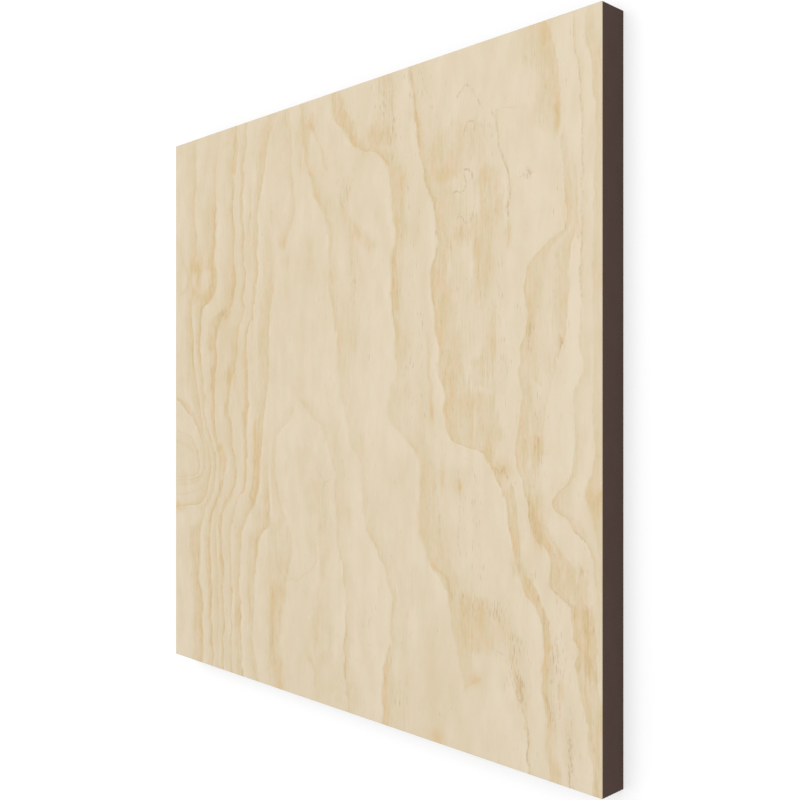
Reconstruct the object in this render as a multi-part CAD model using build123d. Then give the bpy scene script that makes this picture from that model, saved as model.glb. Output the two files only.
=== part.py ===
"""A square craft panel: a dark brown fibreboard core with a peeled pine veneer glued to its face.

Millimetres. The panel lies on its back with the pine face up. The origin is the centre of the back face,
+X runs across the grain, +Y along the grain and +Z out of the pine face.
"""

import os

from build123d import *

# Driving dimensions

panel_width = 400.0  # across the grain
panel_length = 400.0  # along the grain
core_thickness = 18.5
veneer_thickness = 0.5
arris_radius = 0.2  # the sanded edge round the pine face
arris_limit_share = 0.8  # the most of the veneer's thickness that sanding may round off


def make_core_board():
    """The sawn board: flat faces and square edges, in one piece."""
    return Box(
        panel_width,
        panel_length,
        core_thickness,
        align=(Align.CENTER, Align.CENTER, Align.MIN),
    )


def make_face_veneer():
    """One sheet of peeled pine, flush with the core's edges, its top arris rounded by sanding."""
    glue_line = Plane.XY.offset(core_thickness)
    sheet = glue_line * Box(
        panel_width,
        panel_length,
        veneer_thickness,
        align=(Align.CENTER, Align.CENTER, Align.MIN),
    )
    top_edges = sheet.faces().sort_by(Axis.Z)[-1].edges()
    rounding = min(arris_radius, arris_limit_share * veneer_thickness)
    return fillet(top_edges, rounding)


pieces = {
    "core_board": make_core_board(),
    "face_veneer": make_face_veneer(),
}

os.makedirs("parts", exist_ok=True)
for name, piece in pieces.items():
    piece.label = name
    export_step(piece, os.path.join("parts", name + ".step"))
    size = piece.bounding_box().size
    print(f"{name}: {size.X:.1f} x {size.Y:.1f} x {size.Z:.2f} mm, {piece.volume / 1000:.1f} cm3")
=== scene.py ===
# %% [markdown]
# # A craft panel faced with peeled pine
# The real thing is a square board: a dark brown core, taken to be fibreboard, with one thin sheet of pine
# glued to its face. The solids come in first as a fixed frame. They are never moved, so every new piece
# takes its place from their boxes.

# %% Load the frame
import math
import bpy
import numpy as np
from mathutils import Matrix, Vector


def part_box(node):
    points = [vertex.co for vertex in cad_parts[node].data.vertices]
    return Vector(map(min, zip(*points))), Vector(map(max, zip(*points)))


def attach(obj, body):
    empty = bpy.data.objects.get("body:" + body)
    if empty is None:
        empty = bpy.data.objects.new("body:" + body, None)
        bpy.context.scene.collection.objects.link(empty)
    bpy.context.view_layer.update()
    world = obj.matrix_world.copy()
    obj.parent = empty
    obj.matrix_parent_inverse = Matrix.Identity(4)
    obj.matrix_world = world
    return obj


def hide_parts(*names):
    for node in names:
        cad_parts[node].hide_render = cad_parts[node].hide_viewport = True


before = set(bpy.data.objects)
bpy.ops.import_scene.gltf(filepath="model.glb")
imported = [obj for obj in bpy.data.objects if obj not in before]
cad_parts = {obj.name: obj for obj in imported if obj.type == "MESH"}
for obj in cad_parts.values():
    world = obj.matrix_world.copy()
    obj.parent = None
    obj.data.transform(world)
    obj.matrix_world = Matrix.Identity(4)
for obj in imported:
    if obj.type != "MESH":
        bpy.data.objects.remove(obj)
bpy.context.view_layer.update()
scene = bpy.context.scene
sheet_low, sheet_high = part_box("face_veneer")
panel_width = sheet_high.x - sheet_low.x
panel_length = sheet_high.y - sheet_low.y
MM = 0.001

# %% [markdown]
# ## The camera
# The photograph shows the panel standing and turned. Here it lies flat, so the same view is had from above,
# with the camera turned about the grain direction. Three measures of the picture are enough: the focal
# length, the turn of the face, and where the near arris stands. The camera is placed backwards from there.

# %% Camera
image_width = 800  # pixels
focal_length = 999.24  # pixels
near_arris_column = 602.05  # pixels from the left
near_arris_depth = 0.5004  # metres from the lens to the arris, along the view
face_turn = math.radians(45.99)  # between the view and the face's own normal
film_width = 36.0  # millimetres

camera_data = bpy.data.cameras.new("photo_camera")
camera_data.sensor_width = film_width
camera_data.lens = focal_length * film_width / image_width
camera = bpy.data.objects.new("photo_camera", camera_data)
scene.collection.objects.link(camera)
to_the_right = (near_arris_column - image_width / 2) / focal_length * near_arris_depth
camera.location = (
    sheet_high.x - to_the_right * math.cos(face_turn) + near_arris_depth * math.sin(face_turn),
    0.0,
    sheet_high.z + to_the_right * math.sin(face_turn) + near_arris_depth * math.cos(face_turn),
)
camera.rotation_euler = (0.0, face_turn, 0.0)
scene.camera = camera
print("camera at", [round(value, 4) for value in camera.location])

# %% [markdown]
# ## Helpers for node trees
# Every material below is a tree of nodes. One helper adds a node, sets its options and fills its inputs: an
# output of another node is linked, and anything else is written on the input itself. The others are short
# names for the sums that come again and again, so that a material reads like its recipe.

# %% Node helpers
def add_node(tree, kind, inputs=None, **options):
    """Adds a node. Inputs go by name or number, and each is a value or another node's output."""
    made = tree.nodes.new("ShaderNode" + kind)
    for option, value in options.items():
        setattr(made, option, value)
    for key, value in (inputs or {}).items():
        if isinstance(value, bpy.types.NodeSocket):
            tree.links.new(value, made.inputs[key])
        else:
            made.inputs[key].default_value = value
    return made


def calculate(tree, operation, *values):
    """Output of a Math node that works on the given values, in order."""
    return add_node(tree, "Math", dict(enumerate(values)), operation=operation).outputs[0]


def chain(tree, operation, *values):
    """Output of a row of Math nodes: the first two values, then their result with the next, to the end."""
    total = values[0]
    for value in values[1:]:
        total = calculate(tree, operation, total, value)
    return total


def add_up(tree, *values):
    """Sum of several outputs and numbers."""
    return chain(tree, "ADD", *values)


def times(tree, *values):
    """Product of several outputs and numbers."""
    return chain(tree, "MULTIPLY", *values)


def larger(tree, *values):
    """Largest of several outputs."""
    return chain(tree, "MAXIMUM", *values)


def rescale(tree, value, low, high, new_low=0.0, new_high=1.0, curve="LINEAR"):
    """Output of a Map Range node that carries low..high to new_low..new_high and stops at the ends."""
    ends = {"From Min": low, "From Max": high, "To Min": new_low, "To Max": new_high}
    made = add_node(tree, "MapRange", {"Value": value, **ends}, interpolation_type=curve)
    return made.outputs["Result"]


def blend_colours(tree, share, first, second, mode="MIX"):
    """Output of a Mix node that goes from the first colour to the second as the share goes from 0 to 1."""
    inputs = {"Fac": share, "Color1": first, "Color2": second}
    return add_node(tree, "MixRGB", inputs, blend_type=mode).outputs[0]


print("node helpers ready")

# %% Material helpers
def start_material(name):
    """An empty node material with its output, as (material, tree, output node)."""
    material = bpy.data.materials.new(name)
    material.use_nodes = True
    tree = material.node_tree
    tree.nodes.clear()
    return material, tree, add_node(tree, "OutputMaterial")


def coat(tree, output, colour, roughness, height, bump_strength, bump_depth, shine):
    """Ends a wood material: one Principled shader with a colour and a roughness, over a fine bump."""
    bump = add_node(tree, "Bump", {"Strength": bump_strength, "Distance": bump_depth, "Height": height})
    shader = add_node(tree, "BsdfPrincipled", {
        "Base Color": colour, "Roughness": roughness, "Normal": bump.outputs["Normal"],
        "Specular IOR Level": shine,
    })
    tree.links.new(shader.outputs["BSDF"], output.inputs["Surface"])


print("material helpers ready")

# %% [markdown]
# ## Floor and light
# A product picture stands on plain white. The floor is a white sheet that still takes the panel's soft
# shadow: a diffuse part for the shadow and a little glow, seen only by the camera and in reflections, that
# lifts the open floor to white. The light is an even white sky with one large lamp overhead, at a level
# where a colour comes out as written.

# %% Floor
floor_half = 3.0  # metres
floor_white = 0.6
floor_glow = 0.46

corners = np.array([(-1, -1), (1, -1), (1, 1), (-1, 1)]) * floor_half
floor_points = np.column_stack([corners, np.zeros(len(corners))])
floor_mesh = bpy.data.meshes.new("studio_floor")
floor_mesh.from_pydata(floor_points.tolist(), [], [(0, 1, 2, 3)])
floor = bpy.data.objects.new("studio_floor", floor_mesh)
scene.collection.objects.link(floor)

floor_paper, tree, output = start_material("white_paper")
seen = add_node(tree, "LightPath")
seen_direct = calculate(tree, "ADD", seen.outputs["Is Camera Ray"], seen.outputs["Is Glossy Ray"])
glow = calculate(tree, "MULTIPLY", seen_direct, floor_glow)
paper = add_node(tree, "BsdfDiffuse", {"Color": (floor_white, floor_white, floor_white, 1.0)})
shine = add_node(tree, "Emission", {"Strength": glow})
both = add_node(tree, "AddShader", {0: paper.outputs[0], 1: shine.outputs[0]})
tree.links.new(both.outputs[0], output.inputs["Surface"])
floor_mesh.materials.append(floor_paper)
print("floor", 2 * floor_half, "m")

# %% Light
sky_level = 0.84
backdrop_level = 1.0
lamp_side = 2.4  # metres
lamp_place = (0.05, 0.6, 2.2)  # metres
lamp_power = 24.0  # watts

world = bpy.data.worlds.new("studio_sky")
world.use_nodes = True
scene.world = world
tree = world.node_tree
tree.nodes.clear()
seen = add_node(tree, "LightPath").outputs["Is Camera Ray"]
sky = add_node(tree, "Background", {"Strength": sky_level})
backdrop = add_node(tree, "Background", {"Strength": backdrop_level})
choice = add_node(tree, "MixShader", {0: seen, 1: sky.outputs[0], 2: backdrop.outputs[0]})
add_node(tree, "OutputWorld", {"Surface": choice.outputs[0]})

lamp_data = bpy.data.lights.new("overhead_lamp", "AREA")
lamp_data.size = lamp_side
lamp_data.energy = lamp_power
lamp = bpy.data.objects.new("overhead_lamp", lamp_data)
lamp.location = lamp_place
scene.collection.objects.link(lamp)
scene.view_settings.view_transform = "Standard"
print("lamp", lamp_power, "W")

# %% [markdown]
# ## Reading the growth lines
# A peeled sheet is a long shaving, cut round and round the log. Where the knife crosses a year's growth,
# the dark late wood shows as a line that wanders up the sheet. On one side the tan comes on slowly, as the
# summer went, and on the other it stops dead, because winter came. Noise could make lines like these, but
# not these lines, so each is drawn as a list of points, in percent down from the head edge and percent
# across from the left. A smooth curve runs through them.

# %% Curves through drawn points
def follow(points, rows):
    """Value of a drawn line at each row: a smooth cubic through its (down, value) points.

    A point's slope is the harmonic mean of the straight slopes on both sides of it, or zero where the line
    turns back, so the curve never swings past a point. Beyond its ends the line keeps its last value.
    """
    down, value = np.array(points, float).T
    step = np.diff(down)
    straight = np.diff(value) / step
    product = straight[1:] * straight[:-1]
    total = straight[1:] + straight[:-1]
    inner = np.where(product > 0, 2 * product / np.where(product > 0, total, 1.0), 0.0)
    slope = np.concatenate([[straight[0]], inner, [straight[-1]]])
    part = np.clip(np.searchsorted(down, rows) - 1, 0, len(step) - 1)
    t = np.clip((rows - down[part]) / step[part], 0.0, 1.0)
    rise = value[part + 1] - value[part]
    start = slope[part] * step[part]
    stop = slope[part + 1] * step[part]
    bend = 3 * rise - 2 * start - stop
    twist = start + stop - 2 * rise
    return value[part] + t * (start + t * (bend + t * twist))


LEFT, RIGHT = -1, 1
growth_lines = {}


def draw_line(name, soft_side, path, tone):
    """Keeps one growth line. Lines are drawn in order, from left to right across the sheet.

    The path is a list of (down, across). The tone is a list of (down, depth of the tan, its width, depth of
    the grey veil behind it, its width), with widths in percent of the panel's width.
    """
    growth_lines[name] = {"soft_side": soft_side, "path": path, "tone": tone}


print("curves ready")

# %% Growth lines round the edge knot
draw_line(
    "knot_inner_ring", LEFT,
    [(0, -4), (55.6, -4), (56, -0.5), (56.4, 3), (57, 5.5), (58.5, 6.7), (60, 7.8), (62, 8.3),
     (63.5, 8.4), (64.4, 7), (64.8, 4), (65, -0.5), (65.4, -4), (100, -4)],
    [(55, 0, 1, 0, 2), (57, 0.3, 1.5, 0.2, 3), (61, 0.5, 1.2, 0.3, 3), (64, 0.4, 1, 0.3, 2.5),
     (66, 0, 1, 0, 2)],
)
draw_line(
    "knot_outer_ring", RIGHT,
    [(0, -2), (49, -2), (49.6, 0), (51, 2.7), (52.3, 4.6), (53.2, 6.2), (55, 7.4), (56.5, 8.6),
     (58.5, 9.4), (61, 9.6), (63.5, 9.3), (64.7, 8), (65.2, 5.5), (65.6, 1.5), (65.9, -1), (67, -2),
     (100, -2)],
    [(48, 0, 1, 0, 3), (50, 0.48, 1.5, 0.52, 3), (53, 0.48, 2, 0.65, 3), (55.5, 0.84, 1.8, 0.52, 2.5),
     (58, 0.6, 1.2, 0.39, 1.8), (61, 0.3, 1, 0.26, 1.5), (64, 0.42, 1.2, 0.39, 2), (67, 0, 1, 0, 2)],
)
draw_line(
    "knot_skirt", LEFT,
    [(0, 7), (8, 6.9), (15, 6.8), (20, 6.9), (23, 6.4), (27, 6.1), (31, 5.9), (35, 5.9), (40, 6),
     (44, 6.6), (47.5, 7.8), (51, 9), (55, 9.7), (58, 10.7), (60.5, 12), (62.5, 12.3), (65, 12),
     (67.5, 11), (69.3, 9.8), (70.1, 8), (70.5, 3), (70.9, 0), (71.3, -2), (100, -2)],
    [(0, 0.13, 2, 0.25, 4), (6, 0.26, 2, 0.38, 4), (10, 0.45, 1.4, 0.38, 3.5),
     (20, 0.45, 1.4, 0.44, 3.5), (24, 0.28, 1.6, 0.3, 3), (29, 0.3, 1.6, 0.3, 2.5),
     (33, 0.6, 2, 0.5, 3), (37, 0.9, 1.6, 0.6, 3.5), (43, 0.85, 1.8, 0.65, 3.5), (47, 0.33, 2, 0.5, 4),
     (53, 0.39, 2, 0.44, 3), (56, 0.78, 1.8, 0.38, 2.5), (59, 0.59, 1.5, 0.38, 2.5),
     (62, 0.78, 1.2, 0.38, 2.2), (66, 0.7, 1.5, 0.5, 2.5), (69, 0.65, 1.5, 0.38, 3),
     (70.5, 1.1, 3, 0.6, 5), (71.5, 0, 1, 0, 2)],
)
print(len(growth_lines), "growth lines so far")

# %% Growth lines left of the middle
draw_line(
    "curl_line", LEFT,
    [(0, 14.6), (4.5, 14.5), (6, 14.2), (8, 13.9), (10, 13.7), (12.5, 13.9), (14.5, 14.1), (17, 13.8),
     (20, 13.5), (23, 13.3), (24.5, 13.1), (26, 13.9), (28, 14.2), (29.5, 13.4), (30.6, 12.6),
     (31.6, 11.2), (32.3, 9.8), (33.2, 9.1), (35, 8.8), (38, 8.5), (40, 8.4), (42, 8.8), (46, 9.6),
     (50, 10.2), (53, 10.6), (56, 11.6), (59, 13), (60.7, 13.9), (64, 14), (66, 13.7), (68, 12.4),
     (70, 11.1), (72, 10.3), (74, 9.3), (76, 8.7), (80, 8.3), (84, 8.1), (86, 8.8), (88, 9.3),
     (91, 9.5), (95, 9.4), (100, 9.1)],
    [(0, 0, 2, 0.12, 4), (5, 0.2, 3, 0.31, 5), (9, 0.25, 3, 0.3, 5), (13, 0.5, 1.6, 0.35, 4.5),
     (18, 1.1, 1.7, 0.5, 4.5), (23, 1.04, 1.5, 0.45, 3.4), (27, 0.65, 1.6, 0.3, 2.8),
     (30, 1, 2.2, 0.5, 4), (32, 1.04, 2.2, 0.5, 4), (34, 0.95, 1.4, 0.45, 2.5),
     (40, 0.95, 1.4, 0.5, 2.6), (46, 0.45, 1.1, 0.38, 2), (52, 0.52, 0.9, 0.31, 1.6),
     (58, 0.65, 0.9, 0.31, 1.5), (62, 0.98, 0.8, 0.31, 1.3), (67, 0.59, 1, 0.38, 1.6),
     (72, 0.65, 1, 0.38, 2), (76, 0.5, 3, 0.5, 4.5), (80, 0.85, 2.5, 0.56, 4), (83, 1.04, 1.8, 0.5, 3),
     (87, 0.85, 2.2, 0.56, 3.5), (92, 1, 2.2, 0.5, 3.6), (100, 1, 2.4, 0.5, 3.8)],
)
draw_line(
    "pin_knot_line", LEFT,
    [(0, 20.8), (3, 20.6), (4.5, 20.4), (6, 20), (8, 19.8), (12, 19.7), (15, 19.6), (18, 19.9),
     (20, 20.2), (23, 20.1), (26, 20.2), (28, 20.4), (30, 20.2), (32, 19.9), (33.2, 19), (34, 17.5),
     (34.8, 16), (35.7, 15), (37.5, 14.3), (39, 13.9), (41, 14.1), (43, 14.3), (45, 13.9), (48, 13.7),
     (50, 13.6), (53, 13.7), (56, 14), (58, 14.6), (60, 15.4), (62, 15.8), (64, 15.7), (65.6, 15.9),
     (66.5, 16), (67.4, 15.6), (68.3, 14.9), (69.3, 14.1), (71, 13.1), (72.3, 12.6), (74, 12.6),
     (76, 12.3), (78, 12), (80, 12.1), (84.5, 12.2), (86.5, 12.7), (88, 12.5), (91, 12.7), (94, 12.8),
     (97, 13), (100, 13.3)],
    [(0, 0.9, 1.5, 0.4, 3.5), (5, 1, 1.6, 0.4, 4), (8, 0.52, 1.4, 0.44, 4), (14, 0.72, 1.2, 0.38, 4.5),
     (19, 0.78, 0.9, 0.38, 4.5), (26, 0.91, 1.6, 0.56, 4.5), (31, 0.85, 1.6, 0.56, 4),
     (34, 0.85, 2.4, 0.69, 4.5), (37, 1, 1.8, 0.5, 4), (43, 1, 1.5, 0.45, 4), (48, 0.98, 1.2, 0.44, 3),
     (55, 0.91, 1, 0.38, 2), (59, 0.78, 1, 0.31, 1.6), (64, 0.65, 0.8, 0.31, 1.4),
     (67, 1.1, 1, 0.31, 1.5), (72, 1.23, 1.1, 0.38, 1.8), (76, 0.85, 1.2, 0.38, 2.2),
     (82, 1.15, 1.4, 0.3, 2.2), (88, 1, 1.1, 0.3, 2), (94, 1.1, 1.2, 0.3, 2),
     (100, 0.45, 1.4, 0.38, 2.4)],
)
draw_line(
    "pin_knot_shadow", LEFT,
    [(0, 22), (14, 21.3), (30, 21.2), (35, 18.2), (44, 16.2), (56, 16.2), (60, 17.2), (62, 17.3),
     (64, 16.8), (66, 16.4), (68, 16), (71, 14.6), (75, 14.3), (84, 14.4), (92, 14.8), (100, 15)],
    [(0, 0, 1, 0, 1.5), (59, 0, 1, 0, 1.5), (61, 0.55, 0.9, 0.2, 1.5), (65, 0.55, 0.7, 0.2, 1.2),
     (69, 0.2, 0.8, 0.2, 1.2), (78, 0.35, 0.9, 0.25, 1.5), (86, 0.3, 0.9, 0.25, 1.5),
     (100, 0.25, 1, 0.25, 1.6)],
)
draw_line(
    "long_left_line", LEFT,
    [(0, 24), (2, 23.9), (3.5, 24.2), (5.5, 23.6), (7.5, 22.9), (9.5, 22.7), (12, 22.8), (14, 22.7),
     (16, 22.8), (18, 23), (20, 23.1), (22, 22.9), (24, 23), (26, 23.3), (29, 23.3), (31, 22.9),
     (33, 22.9), (34.5, 22.4), (36, 21.9), (38, 21.2), (40, 21.1), (42, 20.9), (43.5, 20.3),
     (44.8, 19.9), (46, 18.9), (48, 18.4), (50, 18.1), (52, 18.2), (54, 18.9), (56, 19.2), (58, 19.2),
     (59.5, 19.8), (61, 20.3), (63, 20.7), (64.5, 20.7), (66, 20.1), (67.5, 19.1), (68.8, 18.1),
     (69.7, 17.1), (71, 16.5), (73, 16.2), (76, 16), (79, 16.1), (81, 16.4), (83, 16.3), (85, 16),
     (87, 16.1), (88.5, 16.5), (91, 16.7), (94, 16.6), (97, 16.5), (100, 16.7)],
    [(0, 0.68, 1.2, 0.39, 2.5), (6, 0.6, 1.5, 0.39, 2.5), (10, 0.95, 0.9, 0.35, 2),
     (16, 0.95, 0.9, 0.35, 2), (23, 0.75, 1, 0.39, 2), (30, 0.75, 1, 0.45, 2.2), (35, 0.68, 1, 0.52, 4),
     (40, 0.9, 0.9, 0.42, 4), (43, 1.05, 1.3, 0.5, 4), (45, 1.1, 2.4, 0.6, 4.5),
     (48, 0.83, 2, 0.65, 3.6), (52, 0.9, 1.4, 0.59, 3.4), (57, 0.68, 1.4, 0.52, 3.5),
     (63, 0.83, 1, 0.39, 2.5), (68, 1.2, 1, 0.39, 2), (72, 1.25, 0.8, 0.25, 1.3),
     (78, 1.2, 0.8, 0.25, 1.3), (82, 1.35, 0.9, 0.33, 1.4), (86, 1.05, 0.9, 0.2, 1.3),
     (90, 1.15, 0.9, 0.2, 1.3), (100, 1.1, 0.9, 0.2, 1.4)],
)
draw_line(
    "faint_left_line", LEFT,
    [(0, 25.2), (12, 25.2), (16, 25.1), (18, 25.1), (21, 24.9), (23.5, 25), (26, 25.1), (33, 24.6),
     (38, 22.6), (46, 21), (56, 21.4), (63, 21.8), (67, 20.8), (70, 18.6), (75, 17.2), (84, 17.4),
     (92, 17.9), (100, 18)],
    [(0, 0, 0.6, 0, 1), (11, 0, 0.6, 0, 1), (16, 0.68, 0.6, 0.13, 1.2), (22, 0.52, 0.6, 0.13, 1.2),
     (26, 0, 0.6, 0, 1), (100, 0, 0.6, 0, 1)],
)
draw_line(
    "wide_left_line", LEFT,
    [(0, 33), (2, 32), (4, 30.4), (6, 29.4), (9, 29.1), (12, 28.3), (14, 27.6), (17, 27.3), (20, 27.3),
     (22, 27), (24, 26.9), (26, 27.1), (28, 26.8), (29.5, 26.3), (31, 26.3), (33, 25.9), (35, 25.3),
     (36.5, 24.7), (38, 24.2), (40, 23.8), (45, 23.8), (48, 24.1), (51, 24.2), (54, 24), (57, 23.7),
     (60, 23.6), (63, 23.5), (66, 23.3), (67.3, 22), (68.6, 20.9), (70, 20.1), (72, 19.4), (74, 18.9),
     (77, 18.7), (80, 18.7), (83, 19), (85, 19.1), (88, 18.9), (91, 19), (94, 19.1), (97, 19.3),
     (100, 19.6)],
    [(0, 0.1, 3, 0.25, 5), (4, 0.35, 3, 0.4, 5), (7, 0.65, 2.2, 0.5, 4), (11, 0.52, 2.4, 0.5, 3.5),
     (18, 0.49, 2.4, 0.62, 3), (24, 0.52, 2, 0.56, 2.6), (26.5, 0.85, 1.2, 0.5, 2),
     (31, 0.78, 1.3, 0.44, 2), (36, 0.8, 1.2, 0.4, 2), (41, 0.95, 1.4, 0.4, 2.4),
     (47, 1.04, 1, 0.31, 2.2), (52, 1.04, 1.1, 0.38, 2.4), (57, 0.65, 0.9, 0.31, 2.2),
     (63, 1, 0.9, 0.35, 2), (68, 0.59, 0.9, 0.31, 1.6), (74, 0.52, 1.2, 0.31, 1.8),
     (78, 0.59, 1.2, 0.31, 1.8), (84, 0.8, 1.4, 0.3, 2), (88, 1.2, 2, 0.4, 2.4),
     (91, 0.95, 0.9, 0.2, 1.4), (100, 1.1, 0.9, 0.2, 1.4)],
)
draw_line(
    "inner_left_line", LEFT,
    [(0, 33.6), (10, 31.5), (20, 31.2), (28, 31.6), (33, 31.3), (35, 31), (37, 30.7), (40, 30.5),
     (42, 30.6), (44, 30.5), (47, 30.4), (49, 30), (51, 29.2), (53, 28.7), (55, 28.3), (57, 28),
     (59, 27.9), (61, 27.7), (63, 27.6), (65, 27.6), (66.5, 27.2), (67.4, 26.5), (68.6, 25.6),
     (69.8, 24.6), (70.8, 23.8), (71.9, 23.1), (73, 22.6), (74.6, 22), (76, 21.8), (79, 21.6),
     (82, 21.5), (85, 21.6), (88, 21.9), (91, 22), (94, 22.1), (97, 22.4), (100, 23)],
    [(0, 0, 2, 0, 4), (25, 0, 2.5, 0.25, 4), (32, 0.33, 2.5, 0.5, 4), (38, 0.52, 2.5, 0.56, 4),
     (43, 0.55, 2.6, 0.56, 4.5), (50, 0.52, 2.8, 0.56, 4.5), (55, 0.65, 2.3, 0.5, 4),
     (62, 1.1, 2.3, 0.56, 4), (68, 1.17, 1.3, 0.44, 3), (71, 0.78, 1.2, 0.38, 2.2),
     (75, 0.52, 1, 0.31, 1.8), (84, 0.8, 1.4, 0.25, 2), (88, 1, 1.8, 0.4, 2.6),
     (91, 0.95, 1.6, 0.25, 2), (96, 1.1, 1.6, 0.3, 2.2), (99, 1.15, 1.2, 0.25, 1.8)],
)
draw_line(
    "lower_left_line", LEFT,
    [(0, 34.5), (14, 32.2), (33, 32), (50, 31), (58, 30.3), (66, 30.2), (69, 30.6), (71, 30.6),
     (72.3, 30.2), (73, 29), (73.8, 28), (74.8, 27.2), (76.5, 26.9), (78, 26.6), (80, 26.2), (83, 26),
     (86, 26), (90, 25.8), (94, 25.5), (96, 25.8), (98, 26.6), (100, 27.6)],
    [(0, 0, 2, 0, 3), (60, 0, 1.5, 0.25, 3), (67, 0.7, 1.6, 0.6, 3.5), (71, 0.85, 1.8, 0.7, 4),
     (74, 0.8, 1.8, 0.7, 4), (77, 0.78, 1.6, 0.44, 3.5), (80, 0.59, 1.5, 0.38, 3),
     (88, 0.45, 1.2, 0.25, 2.2), (96, 0.6, 1.1, 0.25, 2.2), (100, 0.45, 1.2, 0.31, 2.5)],
)
print(len(growth_lines), "growth lines so far")

# %% Growth lines in the middle
draw_line(
    "tongue_and_arch_left", LEFT,
    [(0, 36.3), (8, 37.1), (13, 37.5), (17, 37.7), (19, 37.7), (20.4, 37.1), (21.3, 36.3), (22.5, 35.5),
     (23.7, 34.8), (30, 36), (48, 38), (50.3, 38), (51.7, 37.5), (53, 36.4), (54, 35.2), (55, 33.8),
     (56.5, 32.7), (58, 32.2), (60, 32.1), (63, 32.4), (67, 33.4), (70, 34.8), (73, 36.3), (75, 36.8),
     (77, 36.3), (79, 35.7), (81, 35), (83, 34.9), (85, 34.3), (88, 33.6), (92, 33.4), (96, 33.7),
     (100, 34)],
    [(0, 0.09, 3, 0.3, 5), (9, 0.18, 2, 0.35, 5), (13, 0.32, 1.4, 0.4, 5), (18, 0.3, 1.5, 0.3, 4),
     (21, 0.3, 1.5, 0.3, 3.5), (23.5, 0.45, 1.5, 0.35, 3), (24.5, 0, 1.5, 0, 3), (49.5, 0, 2, 0, 3),
     (52, 0.15, 2, 0.3, 3), (56, 0.2, 2, 0.36, 2.5), (62, 0.23, 2, 0.4, 3), (68, 0.2, 2.5, 0.3, 4),
     (75, 0.3, 2, 0.35, 4), (79, 0.25, 2, 0.3, 4), (83.5, 0.35, 2, 0.3, 4), (88, 0.36, 3, 0.4, 4),
     (95, 0.41, 3, 0.4, 4), (100, 0.41, 3, 0.4, 4)],
)
draw_line(
    "arch_right", RIGHT,
    [(0, 38.4), (24, 38.3), (48, 38.4), (50, 38.9), (50.7, 40.2), (51.7, 41.2), (52.7, 42),
     (53.4, 43.4), (53.9, 44.8), (55, 45.5), (56.3, 46.3), (58, 47), (60, 47.8), (61.5, 48.4),
     (64, 48.6), (68, 48.8), (72, 49), (75, 49.6), (76.5, 50.1), (79, 50.7), (81.5, 51.2), (84, 51.2),
     (87, 50.8), (89, 50.6), (92, 50.9), (95, 51.2), (97.5, 51.6), (100, 52)],
    [(0, 0, 1, 0, 2), (49, 0, 1.5, 0, 3), (51, 0.14, 2, 0.3, 4), (53.5, 0.16, 2, 0.33, 4),
     (57, 0.2, 2, 0.35, 4), (62, 0.25, 1.8, 0.35, 3), (67, 0.3, 1.6, 0.3, 2.6),
     (74, 0.25, 1, 0.25, 2.5), (78, 0.5, 0.8, 0.25, 2.5), (83, 0.35, 0.9, 0.25, 3),
     (88, 0.65, 1, 0.3, 3), (93, 0.75, 1, 0.3, 3), (97, 0.65, 1, 0.35, 3.5),
     (100, 0.45, 1.2, 0.35, 3.5)],
)
draw_line(
    "first_right_line", RIGHT,
    [(0, 39.4), (3, 39.5), (5, 39.9), (7, 40.3), (9.5, 40.8), (11, 41.4), (12.5, 42.1), (14, 42.6),
     (15.5, 43.1), (17, 44.1), (17.9, 45), (18.8, 45.8), (20, 46.4), (21.5, 46.7), (24, 46.8),
     (28, 46.9), (31, 46.8), (33, 47.1), (34.5, 47.9), (37, 48.3), (38.5, 48.6), (39.6, 49.2),
     (41, 49.4), (44, 49.4), (46.5, 49.5), (48.5, 49.9), (50, 50.3), (51.5, 51), (53.5, 51.5),
     (55, 51.8), (56.5, 52.2), (57.6, 53), (58.6, 54), (59.5, 54.8), (61, 55.2), (66, 55.4), (69, 55.7),
     (70.5, 56.4), (71.6, 57.3), (72.6, 58.2), (74, 58.7), (75, 59.6), (76.2, 60.4), (77.6, 61),
     (79, 61.7), (80.5, 62.2), (82, 62), (84, 61.7), (85.5, 61.9), (87, 62.1), (88.6, 61.1),
     (90.5, 60.4), (92, 60), (96, 60), (98, 60), (100, 59.7)],
    [(0, 0.15, 2, 0.35, 4), (3, 0.4, 1.6, 0.4, 4), (8, 0.6, 1.2, 0.3, 3.5), (12, 0.42, 1, 0.3, 3.5),
     (16, 0.55, 2, 0.35, 4), (20, 0.4, 1.5, 0.2, 5), (25, 0.45, 0.8, 0.1, 5), (33, 0.5, 0.9, 0.25, 5),
     (38, 0.45, 1.8, 0.3, 5), (43, 0.4, 2, 0.3, 4.5), (48, 0.22, 1.2, 0.15, 3), (53, 0.22, 1.5, 0.2, 3),
     (57, 0.25, 1.6, 0.2, 3), (62, 0.15, 1.6, 0.15, 4), (68, 0.3, 1.6, 0.15, 5), (73, 0.5, 1.6, 0.2, 6),
     (78, 0.35, 1.6, 0.35, 7), (83, 0.42, 1.6, 0.3, 6), (87, 0.35, 1.6, 0.3, 5),
     (90, 0.7, 1.5, 0.35, 5), (95, 0.75, 2, 0.4, 6), (100, 0.8, 2, 0.4, 6)],
)
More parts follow.
